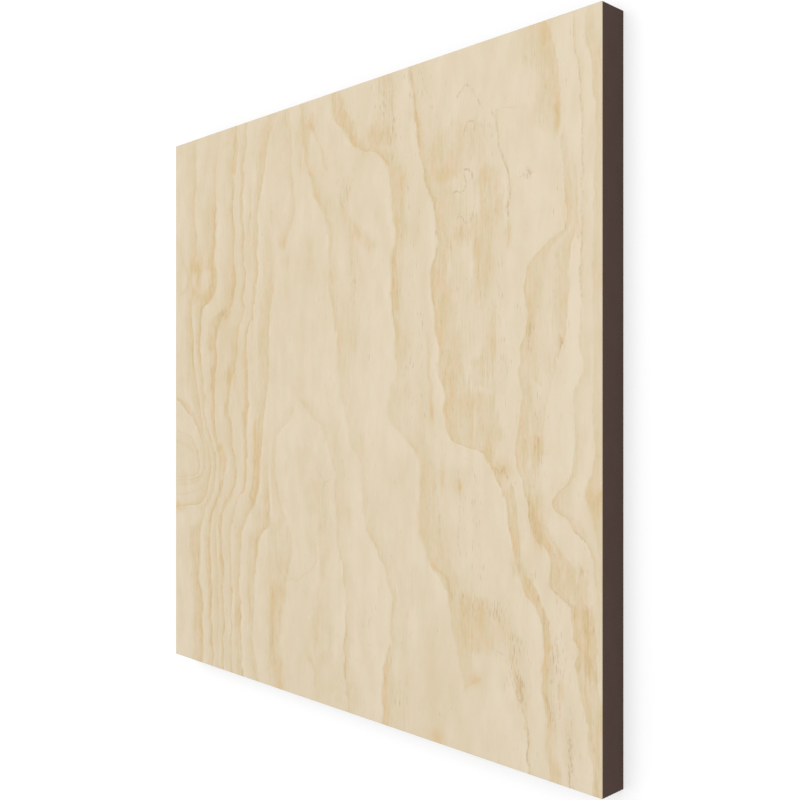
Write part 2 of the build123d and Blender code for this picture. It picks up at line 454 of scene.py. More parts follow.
draw_line(
    "second_right_line", RIGHT,
    [(0, 47.2), (1.5, 47.6), (3, 48), (4.5, 48.4), (5.4, 49.4), (6, 50.5), (6.8, 51.3), (7.8, 51.9),
     (8.9, 52.5), (9.7, 53.4), (10.4, 54.4), (10.9, 55.5), (11.1, 56.8), (11.5, 58.2), (12.2, 59.4),
     (13, 60.3), (14, 60.9), (15.5, 61.4), (17.5, 61.7), (20, 61.9), (22, 62.1), (24, 62.5),
     (25.2, 62.5), (26.5, 62.4), (28, 62.2), (32, 61.8), (36, 62), (38, 62.3), (40, 62.7), (44, 62.9),
     (46, 62.7), (48, 62.2), (50, 61.5), (52, 61.3), (53.5, 62.2), (54.5, 63.4), (55.5, 64.8),
     (56.5, 66), (57.6, 67.2), (59.5, 68.1), (61.5, 68.3), (63, 68.1), (66.5, 67.7), (69, 68),
     (71, 68.8), (72.5, 69.5), (74, 70), (74.8, 71.2), (75.6, 73), (77, 73.6), (78.5, 73.9), (80, 74.1),
     (82, 74.5), (83.5, 75.1), (86.5, 75.6), (88, 76), (90, 76.8), (91.5, 77.2), (94, 77.6), (100, 78)],
    [(0, 0.15, 3, 0.2, 6), (3, 0.4, 2, 0.25, 4), (5.5, 0.7, 2, 0.3, 3.5), (8, 0.9, 1.8, 0.3, 3.2),
     (10.3, 0.75, 1.5, 0.3, 3), (12, 0.4, 1.2, 0.55, 3), (15, 0.34, 2.8, 0.5, 4),
     (20, 0.42, 2.6, 0.5, 3.6), (24, 0.6, 1.5, 0.4, 3), (30, 0.75, 1.8, 0.35, 3),
     (35, 0.9, 1.8, 0.35, 3), (38.5, 0.6, 1.8, 0.35, 3), (44, 0.42, 2, 0.4, 3.5), (48, 0.2, 2, 0.3, 5),
     (53, 0.15, 2, 0.3, 6), (56, 0.3, 2.5, 0.4, 6), (60, 0.6, 2.2, 0.5, 5), (66, 0.4, 2.4, 0.45, 5),
     (72, 0.35, 2.4, 0.45, 5), (76, 1, 2.4, 0.5, 6), (80, 0.5, 2.4, 0.4, 6), (85, 0.3, 1.2, 0.2, 3),
     (89, 0.25, 1.5, 0.2, 3), (91, 0.2, 1.5, 0.15, 3), (92.5, 0, 2, 0, 3), (100, 0, 2, 0, 3)],
)
draw_line(
    "short_right_line", RIGHT,
    [(0, 57), (10, 63), (20, 66), (30, 67), (50, 69.5), (56, 72), (58, 77), (60, 79), (66, 82),
     (72, 83.3), (76, 84), (80, 84.8), (84, 85.3), (86, 85.7), (88, 86.2), (90, 86.9), (92, 87.3),
     (94, 87.7), (96, 88.1), (100, 88.4)],
    [(0, 0, 1, 0, 2), (76, 0, 1, 0, 2), (83, 0.25, 1.2, 0.3, 2.5), (88.5, 0.6, 0.9, 0.3, 2.5),
     (92, 0.35, 0.7, 0.2, 2), (95, 0.85, 0.8, 0.25, 1.5), (100, 0.85, 0.8, 0.25, 1.5)],
)
print(len(growth_lines), "growth lines so far")

# %% Growth lines near the right edge
draw_line(
    "third_right_line", RIGHT,
    [(0, 65.5), (2, 65.9), (4, 66.4), (6, 66.8), (8, 67.2), (10, 67.5), (12, 67.8), (14, 68.1),
     (15.5, 68.4), (17, 68.8), (18.5, 69.3), (19.8, 69.8), (20.7, 70.3), (22, 70.9), (23.5, 71.3),
     (25, 71.5), (26.5, 71.7), (28, 71.5), (29.3, 71.1), (30.2, 70.5), (31.5, 70.1), (33, 70.1),
     (34.5, 70.5), (36, 71), (38, 71.1), (40, 71.2), (41.5, 71.6), (43, 71.9), (45, 71.9), (47, 72),
     (48.2, 72.6), (50, 72.8), (52, 73), (53.7, 73.2), (54.8, 73.8), (55.8, 74.3), (56.4, 75.6),
     (56.7, 77.4), (57, 79.4), (57.4, 80.4), (58.5, 81.2), (59.5, 82), (61, 82.9), (62.5, 83.6),
     (63.5, 84.2), (66, 84.6), (68, 85.1), (70, 85.6), (71.5, 86), (73, 86.7), (75, 87.2), (76, 87.9),
     (77, 89.2), (78, 90), (79.5, 90.3), (81, 90.5), (83, 90.7), (85, 90.9), (87, 90.7), (89, 90.8),
     (90.5, 91.1), (91.5, 91.4), (93, 91.2), (95, 91.4), (97, 91.8), (100, 92)],
    [(0, 0.5, 1.3, 0.12, 4), (6, 0.5, 1.2, 0.14, 4), (10.5, 0.85, 1.5, 0.4, 6), (14, 0.38, 1.4, 0.4, 8),
     (18, 0.38, 1.4, 0.4, 8), (21, 0.5, 1.5, 0.5, 9), (26, 0.55, 2.2, 0.5, 9), (29.5, 0.6, 2.5, 0.5, 9),
     (31.5, 0.85, 3, 0.55, 10), (36, 0.65, 2.6, 0.55, 10), (38, 0.7, 2.6, 0.5, 10),
     (43, 0.5, 2.8, 0.6, 10), (47, 0.6, 2.4, 0.65, 11), (51, 0.65, 3, 0.7, 11), (55, 0.5, 4, 0.65, 9),
     (57, 0.6, 4, 0.5, 5), (59, 0.9, 1.6, 0.4, 3), (65, 1, 1.3, 0.35, 2.5), (69, 0.95, 1.3, 0.35, 2.5),
     (72, 0.6, 1.5, 0.4, 2.5), (75, 0.8, 1.5, 0.35, 2.5), (78, 0.75, 1, 0.3, 2.2),
     (82, 0.85, 1.3, 0.35, 2.6), (88, 0.85, 1, 0.35, 2.6), (93, 0.3, 0.8, 0.3, 2.4),
     (100, 0.45, 1, 0.35, 2.6)],
)
draw_line(
    "pitch_line", RIGHT,
    [(0, 82), (10, 82.7), (12, 82.9), (14, 82.9), (16, 83.2), (17.2, 83.9), (18.5, 84.3), (20, 84.6),
     (22, 84.8), (24, 84.9), (28, 84.8), (40, 84.3), (55, 84), (60, 84.8), (65, 86.3), (70, 88),
     (76, 91), (80, 93), (100, 95)],
    [(0, 0, 0.5, 0, 1), (9.5, 0, 0.5, 0, 1), (11, 0.35, 0.5, 0.05, 1), (18, 0.4, 0.5, 0.05, 1),
     (22, 0.6, 0.6, 0.1, 1), (25, 0.5, 0.6, 0.1, 1), (28.5, 0.4, 0.6, 0.05, 1), (30, 0, 0.6, 0, 1),
     (100, 0, 0.6, 0, 1)],
)
draw_line(
    "head_corner_line", LEFT,
    [(0, 91.2), (2, 91.8), (3, 92.4), (4, 92.9), (6, 93.2), (8, 93.4), (10, 93.5), (12, 93.4),
     (14, 93.4), (15, 93.2), (16.5, 91.5), (20, 88), (25, 86.6), (33, 86.4), (43, 85.8), (56, 85),
     (60, 85.8), (65, 87.3), (70, 89.5), (76, 92.2), (80, 94), (100, 97)],
    [(0, 0.52, 2.6, 0.5, 6.5), (3, 0.45, 2.6, 0.5, 6.5), (6, 0.29, 2.6, 0.5, 5),
     (10, 0.33, 2.4, 0.5, 4.5), (14, 0.39, 2.4, 0.45, 3.5), (15.3, 0.2, 2, 0.2, 3), (16.5, 0, 2, 0, 3),
     (100, 0, 2, 0, 3)],
)
draw_line(
    "fourth_right_line", RIGHT,
    [(0, 92), (4, 93.4), (10, 93.8), (15, 93.7), (17, 93.4), (18.5, 93.8), (20, 94), (22, 94.2),
     (24, 94.4), (26, 94.5), (27.5, 94.3), (28.3, 93.6), (28.9, 92.4), (29.6, 91.3), (30.3, 90.3),
     (31, 89.4), (32, 88.6), (33, 88.1), (34.5, 87.8), (36, 87.8), (38, 87.9), (39.5, 88.1), (41, 87.9),
     (42.2, 87.2), (43, 86.8), (45, 86.8), (46, 86.6), (48, 86.8), (50, 87), (52, 86.8), (54, 86.4),
     (55.5, 86), (57, 85.8), (58.5, 86.2), (60, 86.8), (61.5, 87.3), (63, 87.9), (64.5, 88.2),
     (66, 88.4), (67.5, 88.7), (68.5, 89.2), (69.2, 90.5), (70, 91.4), (71, 91.8), (73, 91.7),
     (74, 91.6), (74.8, 92.2), (75.4, 93.3), (76.1, 94.6), (77, 95.4), (79, 95.7), (80.6, 95.9),
     (81.3, 96.4), (82.2, 96.8), (83.2, 96.5), (84, 95.9), (85, 96.3), (86.5, 96.9), (88, 97.2),
     (90, 97.5), (92, 98), (94, 98.2), (96, 98.4), (98, 98.7), (100, 98.9)],
    [(0, 0, 1, 0, 2), (14, 0, 0.8, 0, 1.5), (16, 0.45, 0.8, 0.2, 1.5), (22, 0.45, 1.2, 0.35, 2),
     (27, 0.55, 1.5, 0.45, 2), (30, 0.35, 3, 0.6, 6), (34, 0.4, 2.6, 0.6, 6), (37, 0.42, 2, 0.55, 6),
     (41, 0.58, 1.4, 0.45, 5.5), (45, 0.42, 2.2, 0.45, 3.5), (52, 0.42, 2.2, 0.45, 3.5),
     (57, 0.45, 2, 0.45, 3.2), (61, 0.55, 1.6, 0.4, 2.6), (64, 0.95, 1.8, 0.4, 2.4),
     (68, 1, 2.2, 0.4, 3), (70, 0.6, 2, 0.45, 3.5), (74, 0.7, 2, 0.5, 4), (76, 0.6, 1.6, 0.5, 3.5),
     (79, 0.85, 2.4, 0.5, 3.5), (83, 0.65, 2.4, 0.5, 3.5), (86, 0.42, 1.6, 0.4, 2.6),
     (91, 0.5, 1.5, 0.45, 2.2), (100, 0.6, 1.4, 0.45, 2)],
)
draw_line(
    "white_bay_left", LEFT,
    [(0, 94.7), (14, 94.9), (19, 95.2), (21, 95.8), (24, 96), (26, 96.1), (28.5, 95.7), (30, 95.1),
     (33, 94.9), (37, 94.7), (40, 94.7), (41.5, 94.4), (43, 93.5), (45, 92.7), (46.5, 92.2), (48, 91.6),
     (50, 91.2), (54, 90.7), (58, 90.3), (64, 90.5), (66, 90.9), (68, 91.9), (70, 94), (71.5, 95.4),
     (74, 95.9), (76, 97.2), (77, 98.4), (79, 98.8), (85, 99.1), (90, 99.8), (100, 101)],
    [(0, 0, 0.8, 0, 1.5), (17, 0, 0.8, 0, 1.5), (20, 0.3, 1, 0.2, 1.6), (27, 0.4, 1, 0.25, 1.8),
     (31, 0.4, 2, 0.6, 5), (36, 0.4, 1.1, 0.45, 5), (39, 0.5, 1.2, 0.55, 5), (42, 0.5, 0.8, 0.3, 3),
     (46, 0.2, 0.8, 0.15, 2), (50, 0.2, 0.6, 0.2, 1.5), (58, 0.1, 0.6, 0.1, 1), (69, 0.2, 1, 0.3, 2),
     (73, 0.45, 2, 0.5, 3), (79, 0.45, 1.6, 0.45, 2.6), (85, 0.3, 1.6, 0.3, 2), (90, 0, 1, 0, 2)],
)
draw_line(
    "white_bay_right", RIGHT,
    [(0, 95.4), (3, 95.8), (6.5, 96.2), (12.5, 96.7), (17, 97), (21, 97), (25, 96.9), (29, 96.7),
     (32, 96.6), (36, 96.8), (38, 96.8), (41, 96.7), (44, 96.6), (46, 96.9), (48, 96.5), (50, 96),
     (54, 95.8), (58, 95.6), (59.5, 95.5), (60.4, 95), (61.2, 94.3), (62, 93.2), (62.8, 92.5),
     (63.5, 92.3), (64.3, 92.6), (64.8, 93.6), (65.3, 95), (66.3, 95.9), (67, 96.6), (68, 97.6),
     (69, 98.3), (71, 98.9), (74, 99.3), (77, 99.8), (80, 100.5), (100, 101.5)],
    [(0, 0.3, 0.6, 0.15, 1.5), (8, 0.35, 0.6, 0.15, 1.5), (20, 0.2, 0.6, 0.1, 1.2),
     (30, 0.4, 0.6, 0.15, 1.2), (37, 0.35, 0.6, 0.2, 1.5), (45, 0.3, 0.9, 0.25, 2),
     (52, 0.3, 1.5, 0.3, 2.5), (58, 0.5, 1, 0.3, 2), (61, 0.45, 1, 0.35, 3), (63, 0.5, 1, 0.4, 3.4),
     (65.5, 0.45, 1.2, 0.4, 2), (68, 0.6, 0.9, 0.25, 1.6), (72, 0.45, 0.6, 0.15, 1.2),
     (77, 0, 0.6, 0, 1), (100, 0, 0.6, 0, 1)],
)
draw_line(
    "edge_line", RIGHT,
    [(0, 97.6), (4, 97.9), (7, 98.2), (10, 98.6), (14, 98.9), (18, 99), (22, 98.9), (26, 98.8),
     (30, 98.6), (40, 98.7), (48, 98.8), (56, 98.8), (59, 98.6), (61, 97.9), (62.5, 97.9), (64, 98.6),
     (66, 99.2), (68, 99.5), (70, 99.8), (75, 100.5), (100, 102)],
    [(0, 0.14, 1, 0.24, 2), (5, 0.28, 1.3, 0.36, 2), (12, 0.28, 1.3, 0.36, 1.6),
     (16, 0.14, 1, 0.24, 1.4), (28, 0.24, 1, 0.24, 1.4), (44, 0.14, 1, 0.2, 1.4),
     (56, 0.29, 1, 0.28, 1.4), (62, 0.56, 1.8, 0.32, 2.4), (65, 0.28, 1.2, 0.24, 2),
     (70, 0.14, 1, 0.16, 1.5)],
)
drawn_points = sum(len(drawn["path"]) for drawn in growth_lines.values())
print(len(growth_lines), "growth lines, drawn with", drawn_points, "points")

# %% [markdown]
# ## Stains between the lines
# Resin and the roots of branches leave soft spots that belong to no line: some orange, some a grey veil.
# In other places short dark resin dashes crowd together, and whole stretches are a shade darker or paler.
# Each is an oval, given in percent by its middle across and down, its half width and its half length, and
# then by its depth or change of tone. A plain oval is enough, because the fibres break up its rim later.

# %% Orange stains
orange_stains = [
    (7.3, 24.4, 1.8, 1.5, 0.6), (8, 27, 0.8, 1.8, 0.6), (13, 26.4, 0.9, 1.8, 0.35),
    (6.8, 29, 0.8, 0.9, 0.5), (10.5, 30.6, 2.4, 0.9, 0.45), (1.2, 20, 0.8, 1.5, 0.3),
    (1, 70.8, 1.6, 0.7, 0.75), (15.3, 58.9, 0.6, 0.5, 1), (17.8, 2.7, 0.7, 0.6, 0.35),
    (12.2, 39.5, 1.2, 1.3, 0.3), (18.2, 45.8, 1.6, 1, 0.3), (31.4, 18, 0.5, 1.2, 0.4),
    (34.6, 22.9, 0.7, 0.5, 0.3), (99.2, 62.4, 1.2, 1.4, 0.35), (94.6, 25.5, 0.8, 2, 0.35),
    (28.5, 6.5, 0.9, 1.2, 0.35), (42.3, 4.1, 0.7, 1, 0.5), (40.3, 5, 0.8, 2, 0.3),
    (51.4, 17, 0.4, 1.8, 0.35), (53.7, 23.7, 1.3, 0.8, 0.3), (59.7, 9, 2.4, 1.8, 0.2),
    (64, 16.6, 0.7, 1.4, 0.6), (55, 56.2, 0.4, 1.2, 0.5), (35.6, 61.5, 0.5, 1, 0.3),
    (51.6, 68, 0.6, 1.8, 0.4), (45.3, 78, 0.4, 1.4, 0.35), (34.2, 83.6, 0.9, 1.2, 0.4),
    (43.5, 89, 0.6, 2.2, 0.3), (31.5, 84.5, 0.5, 2.6, 0.4), (31.4, 92.5, 0.4, 1.2, 0.6),
    (72.2, 17.2, 2.2, 1, 0.45), (71, 14, 1.4, 1.5, 0.15), (81, 19, 1.1, 0.8, 0.3),
    (80.1, 22.7, 0.4, 1.6, 0.45), (79, 29, 0.6, 1.2, 0.45), (72.6, 37.5, 0.7, 2.6, 0.4),
    (82, 42.3, 0.4, 1.8, 0.5), (73.4, 47, 0.4, 2, 0.5), (74.2, 50.5, 0.7, 2.6, 0.45),
    (77.8, 50.5, 1.8, 1.2, 0.35), (81.4, 57, 0.8, 1.4, 0.4), (84.8, 27.5, 0.5, 1, 0.4),
    (75.7, 62.4, 0.6, 0.7, 0.9), (72.5, 61, 0.4, 2, 0.5), (70.3, 52, 0.4, 1.4, 0.6),
    (79.7, 81.4, 0.8, 2.4, 0.35), (80.6, 83.8, 1.4, 1, 0.3), (77.5, 83, 1.4, 1.4, 0.3),
    (78.5, 89.4, 1.3, 0.6, 0.45), (86.8, 89, 0.4, 1.2, 0.6), (71.6, 99.2, 1.1, 0.9, 0.8),
    (93.6, 88, 0.4, 1.4, 0.45), (97.2, 79.5, 1.2, 2.4, 0.35), (94, 73.5, 1, 1.6, 0.25),
    (92.8, 98.4, 0.5, 1.2, 0.45), (88.8, 36.5, 0.7, 1.2, 0.2), (88.5, 40.4, 0.4, 2.2, 0.2),
    (93.6, 42.4, 0.4, 0.6, 0.4), (89.2, 56.4, 0.8, 1.2, 0.25), (83.6, 59.6, 1.6, 0.7, 0.55),
    (89.6, 66, 1, 3, 0.5), (97.6, 80.4, 0.8, 3, 0.4), (27.2, 62, 0.8, 5, 0.2), (25.2, 68.6, 1, 1, 0.25),
    (91.2, 2, 0.9, 2.4, 0.35), (93.1, 12.2, 0.5, 2, 0.5),
]
print(len(orange_stains), "orange stains")

# %% Grey stains
grey_stains = [
    (4.3, 2.5, 1.5, 2, 0.3), (8, 9.5, 1.4, 1.4, 0.35), (4.5, 27.5, 1.6, 2, 0.15),
    (2.5, 23, 1.5, 2, 0.35), (1.5, 1.2, 2, 2, 0.4), (2, 46, 1.6, 0.8, 0.35), (7.5, 50.5, 2, 3, 0.35),
    (5, 65, 4, 1, 0.35), (30.5, 3.2, 4, 1.4, 0.4), (35.4, 1.8, 1.5, 2, 0.35), (30.5, 25, 1.8, 5, 0.3),
    (35.5, 28, 1, 3.2, 0.35), (41, 24, 1.3, 2, 0.45), (41.6, 27.5, 1, 2.4, 0.35),
    (49.8, 17.5, 0.5, 2.2, 0.4), (52.8, 22.4, 1.3, 1.8, 0.4), (56.7, 26, 1.8, 1.2, 0.35),
    (53.5, 29, 1.4, 4, 0.4), (59.7, 8.6, 2.6, 2.4, 0.4), (58.3, 21.5, 0.6, 1, 0.3),
    (64.3, 20.5, 0.6, 3.5, 0.35), (38.4, 47.5, 1.6, 1.8, 0.5), (41, 51, 1.2, 1.2, 0.45),
    (40.6, 60, 1.6, 3, 0.6), (43.5, 64, 2.8, 3.5, 0.35), (45.5, 72, 1.5, 5, 0.35),
    (43, 88, 1.5, 4, 0.3), (42, 93.2, 1, 1, 0.4), (43.7, 95.5, 0.6, 1.4, 0.35), (47, 91, 0.6, 4, 0.35),
    (44.5, 98, 2, 2, 0.3), (76.4, 13, 0.5, 2, 0.4), (78.2, 12.5, 1.6, 2, 0.3), (76, 26.3, 1, 0.9, 0.35),
    (79.6, 33, 0.8, 2.4, 0.35), (82.5, 80.5, 2.4, 2.6, 0.25), (71, 92, 1.6, 6, 0.35),
    (65, 94, 1.2, 5, 0.1), (82.7, 19.5, 1.4, 1.4, 0.4), (34.8, 98.5, 1.6, 2.5, 0.5),
    (87.8, 2.5, 1, 2.5, 0.3), (93.3, 63.5, 1.3, 1.3, 0.3), (62.5, 63.5, 1.5, 2, 0.25),
    (35.8, 26.5, 1.4, 1.6, 0.6), (52.8, 35, 1.2, 4, 0.5), (84, 58.7, 1.3, 1.5, 0.5),
    (49, 98, 2.4, 3.5, 0.6), (40.8, 85, 1.1, 3.5, 0.3), (38.5, 97, 1.2, 2, 0.35), (95, 94, 1, 5, 0.35),
    (74.6, 60, 1.8, 3, 0.35), (69.2, 51, 1.1, 2.4, 0.45), (99.6, 8, 0.8, 2.5, 0.4),
    (99.5, 75, 0.8, 6, 0.3), (42.5, 93, 1, 1.5, 0.2), (16.8, 36.5, 2.4, 4.5, 0.4),
    (45, 92, 0.8, 2, 0.3), (57.5, 68, 1.5, 2.5, 0.25),
]
print(len(grey_stains), "grey stains")

# %% Resin crowds
resin_crowds = [
    (59.5, 4, 2.6, 4.5, 0.55), (62, 9, 1.2, 3, 0.8), (66, 4, 0.8, 5, 0.8), (68.4, 2.5, 0.8, 3, 0.8),
    (50.7, 17, 1.4, 2.6, 0.8), (53, 32, 0.8, 3, 0.7), (44.5, 34, 0.8, 2, 0.4),
    (78, 78.5, 3.5, 1.6, 0.5), (82.5, 79, 2.6, 1.8, 1), (83.4, 59.7, 1.6, 0.9, 0.6),
    (86, 84, 1.2, 4, 0.7), (87, 88.8, 0.8, 2, 1), (93, 84, 1.2, 5, 0.9), (92, 91, 0.9, 1.6, 1),
    (95.3, 96, 0.6, 4, 1), (65, 19, 0.9, 5, 0.7), (65.3, 44, 1, 4, 0.7), (66, 30, 1.2, 4, 0.4),
    (68, 38, 0.7, 6, 0.6), (83.5, 36, 0.8, 6, 0.7), (84, 46, 0.9, 5, 0.6), (84.3, 50.5, 0.7, 1, 1),
    (88.6, 41, 0.5, 2, 1), (93.6, 42.4, 0.6, 0.6, 1), (89.8, 52, 1, 7, 0.45), (77.5, 63, 2.6, 3, 0.5),
    (78.8, 67.3, 1.4, 1.4, 0.6), (96.6, 78, 1.4, 3, 0.3), (96.8, 72.5, 0.8, 1.6, 0.7),
    (89.2, 73.8, 0.8, 1.6, 0.6), (31.3, 18, 0.7, 1.4, 0.6), (42, 4, 1.6, 2, 0.6),
    (82, 12.5, 1.2, 3.5, 0.6), (87.8, 19.3, 0.9, 1, 0.8), (67.5, 23, 0.8, 1.6, 0.6),
    (70.5, 8, 1, 2, 0.4), (56.7, 44, 0.6, 2, 0.5), (56.5, 85, 1, 3, 0.4), (45.3, 63.6, 1, 0.8, 0.8),
    (78.5, 74, 1.6, 1.6, 0.5), (52, 96, 1, 3, 0.4), (63.5, 96, 1, 3, 0.4), (12, 62, 2, 3, 0.3),
    (68.5, 51, 0.8, 2, 0.6),
]
print(len(resin_crowds), "resin crowds")

# %% Broad shades
broad_shades = [
    (15, 20, 12, 40, 0.05), (10.5, 20, 2.4, 5, 0.08), (15, 80, 9, 40, 0.06), (16.7, 18, 1.6, 8, -0.04),
    (21, 28.5, 2.8, 5.5, 0.13), (7.2, 34, 1.2, 8, 0.1), (10.2, 40, 1, 5, 0.06),
    (15.4, 51, 2.4, 7, 0.07), (21.5, 53, 2, 8, 0.05), (3, 60, 4, 3, 0.07), (12, 68, 1.8, 2.4, 0.1),
    (15.5, 88, 4.5, 14, 0.07), (28.5, 73, 2.4, 4, 0.07), (31, 90, 1.5, 7, 0.06),
    (2.5, 10, 2.5, 6, -0.04), (17, 38, 2.5, 6, 0.06), (6.5, 49, 2.5, 3.5, -0.06),
    (6, 62, 1.5, 3.5, -0.06), (10.5, 59, 1.5, 1.5, 0.1), (10.5, 76.5, 2, 2.5, -0.07),
    (5.4, 97, 2.2, 4, -0.08), (12, 99.5, 4, 1.5, -0.07), (0.8, 44, 1.2, 2, 0.08),
    (0.8, 52.5, 1.2, 1.6, 0.1), (12.5, 35, 1, 2, -0.06), (28.8, 52, 1.2, 9, -0.12),
    (35, 54.5, 1.6, 4, -0.11), (28, 18, 1.5, 8, -0.05), (28, 1, 1.6, 2, -0.09),
    (25.3, 42, 1.2, 5, 0.08), (25.4, 61.5, 1.2, 2, 0.08), (31.2, 60, 1, 4, 0.07),
    (26.6, 87, 1.2, 4, -0.05), (30, 82.5, 1, 2.4, 0.08), (33.8, 9, 1.4, 5, 0.06),
    (36.5, 17, 1.5, 4, -0.05), (36, 33, 2.5, 4, -0.04), (40, 31, 6, 7, 0.05), (39, 42, 6, 5, 0.03),
    (44.5, 31.5, 3, 2.5, 0.08), (44, 50, 5, 6, -0.05), (39.5, 88, 4, 9, 0.08), (45, 94, 3, 3, 0.08),
    (67, 95, 1.6, 6, 0.07), (51, 60, 1, 2.4, 0.08), (51.5, 79, 1.2, 4, -0.05),
    (51.5, 46.5, 1.5, 2, 0.08), (49, 11, 5, 6, 0.06), (52, 15, 2.5, 3, 0.05), (57, 11.5, 2.5, 2.5, 0.1),
    (64, 0.5, 2, 1.6, 0.08), (58.5, 28.5, 2, 4, 0.06), (57, 40, 4, 9, -0.03), (55.5, 66, 2, 8, -0.07),
    (62, 56, 2.4, 4, -0.05), (65, 67, 2.4, 6, 0.07), (64.5, 85, 4, 7, -0.13),
    (67.3, 24.5, 1.4, 3.5, 0.1), (66.7, 22, 1.5, 12, 0.04), (70.5, 6.5, 1.6, 2.5, 0.06),
    (72, 84, 3, 5, 0.07), (70, 92, 6, 8, 0.11), (75, 51, 3.4, 5, -0.1), (75, 58.4, 4, 1.2, -0.08),
    (74, 69.5, 1.4, 1.8, 0.08), (76, 32, 1.6, 3, -0.1), (79, 40, 1.6, 5, -0.07),
    (87.2, 66, 0.6, 4, -0.1), (82, 28, 1.3, 2.6, 0.07), (82, 67, 1.2, 3, -0.05),
    (84.5, 38, 2.5, 5, -0.05), (82, 34, 1.5, 4, 0.04), (88, 15, 6, 5, -0.04), (97, 4, 4, 6, -0.1),
    (90, 23, 4, 5, -0.03), (93, 36, 2.5, 7, -0.05), (94, 53, 2, 7, -0.07), (95.9, 36, 1, 10, -0.12),
    (97, 50, 1, 7, -0.05), (99.8, 44, 0.9, 18, 0.1), (93, 69, 1.6, 1.2, 0.08), (86, 94, 2, 4, -0.05),
]
print(len(broad_shades), "broad shades")

# %% [markdown]
# ## Tan patches, hair lines and strokes
# Where the knife ran almost along a ring, the late wood is not a line but a whole patch, with a border that
# no oval could give it. These are drawn as closed outlines of (across, down) points, each with a depth of
# tan. The thinnest marks, where resin filled a crack in the growing wood, are open lines with a depth.
# Strokes of late wood a few millimetres wide lie between the two: open lines with a depth and a half width.

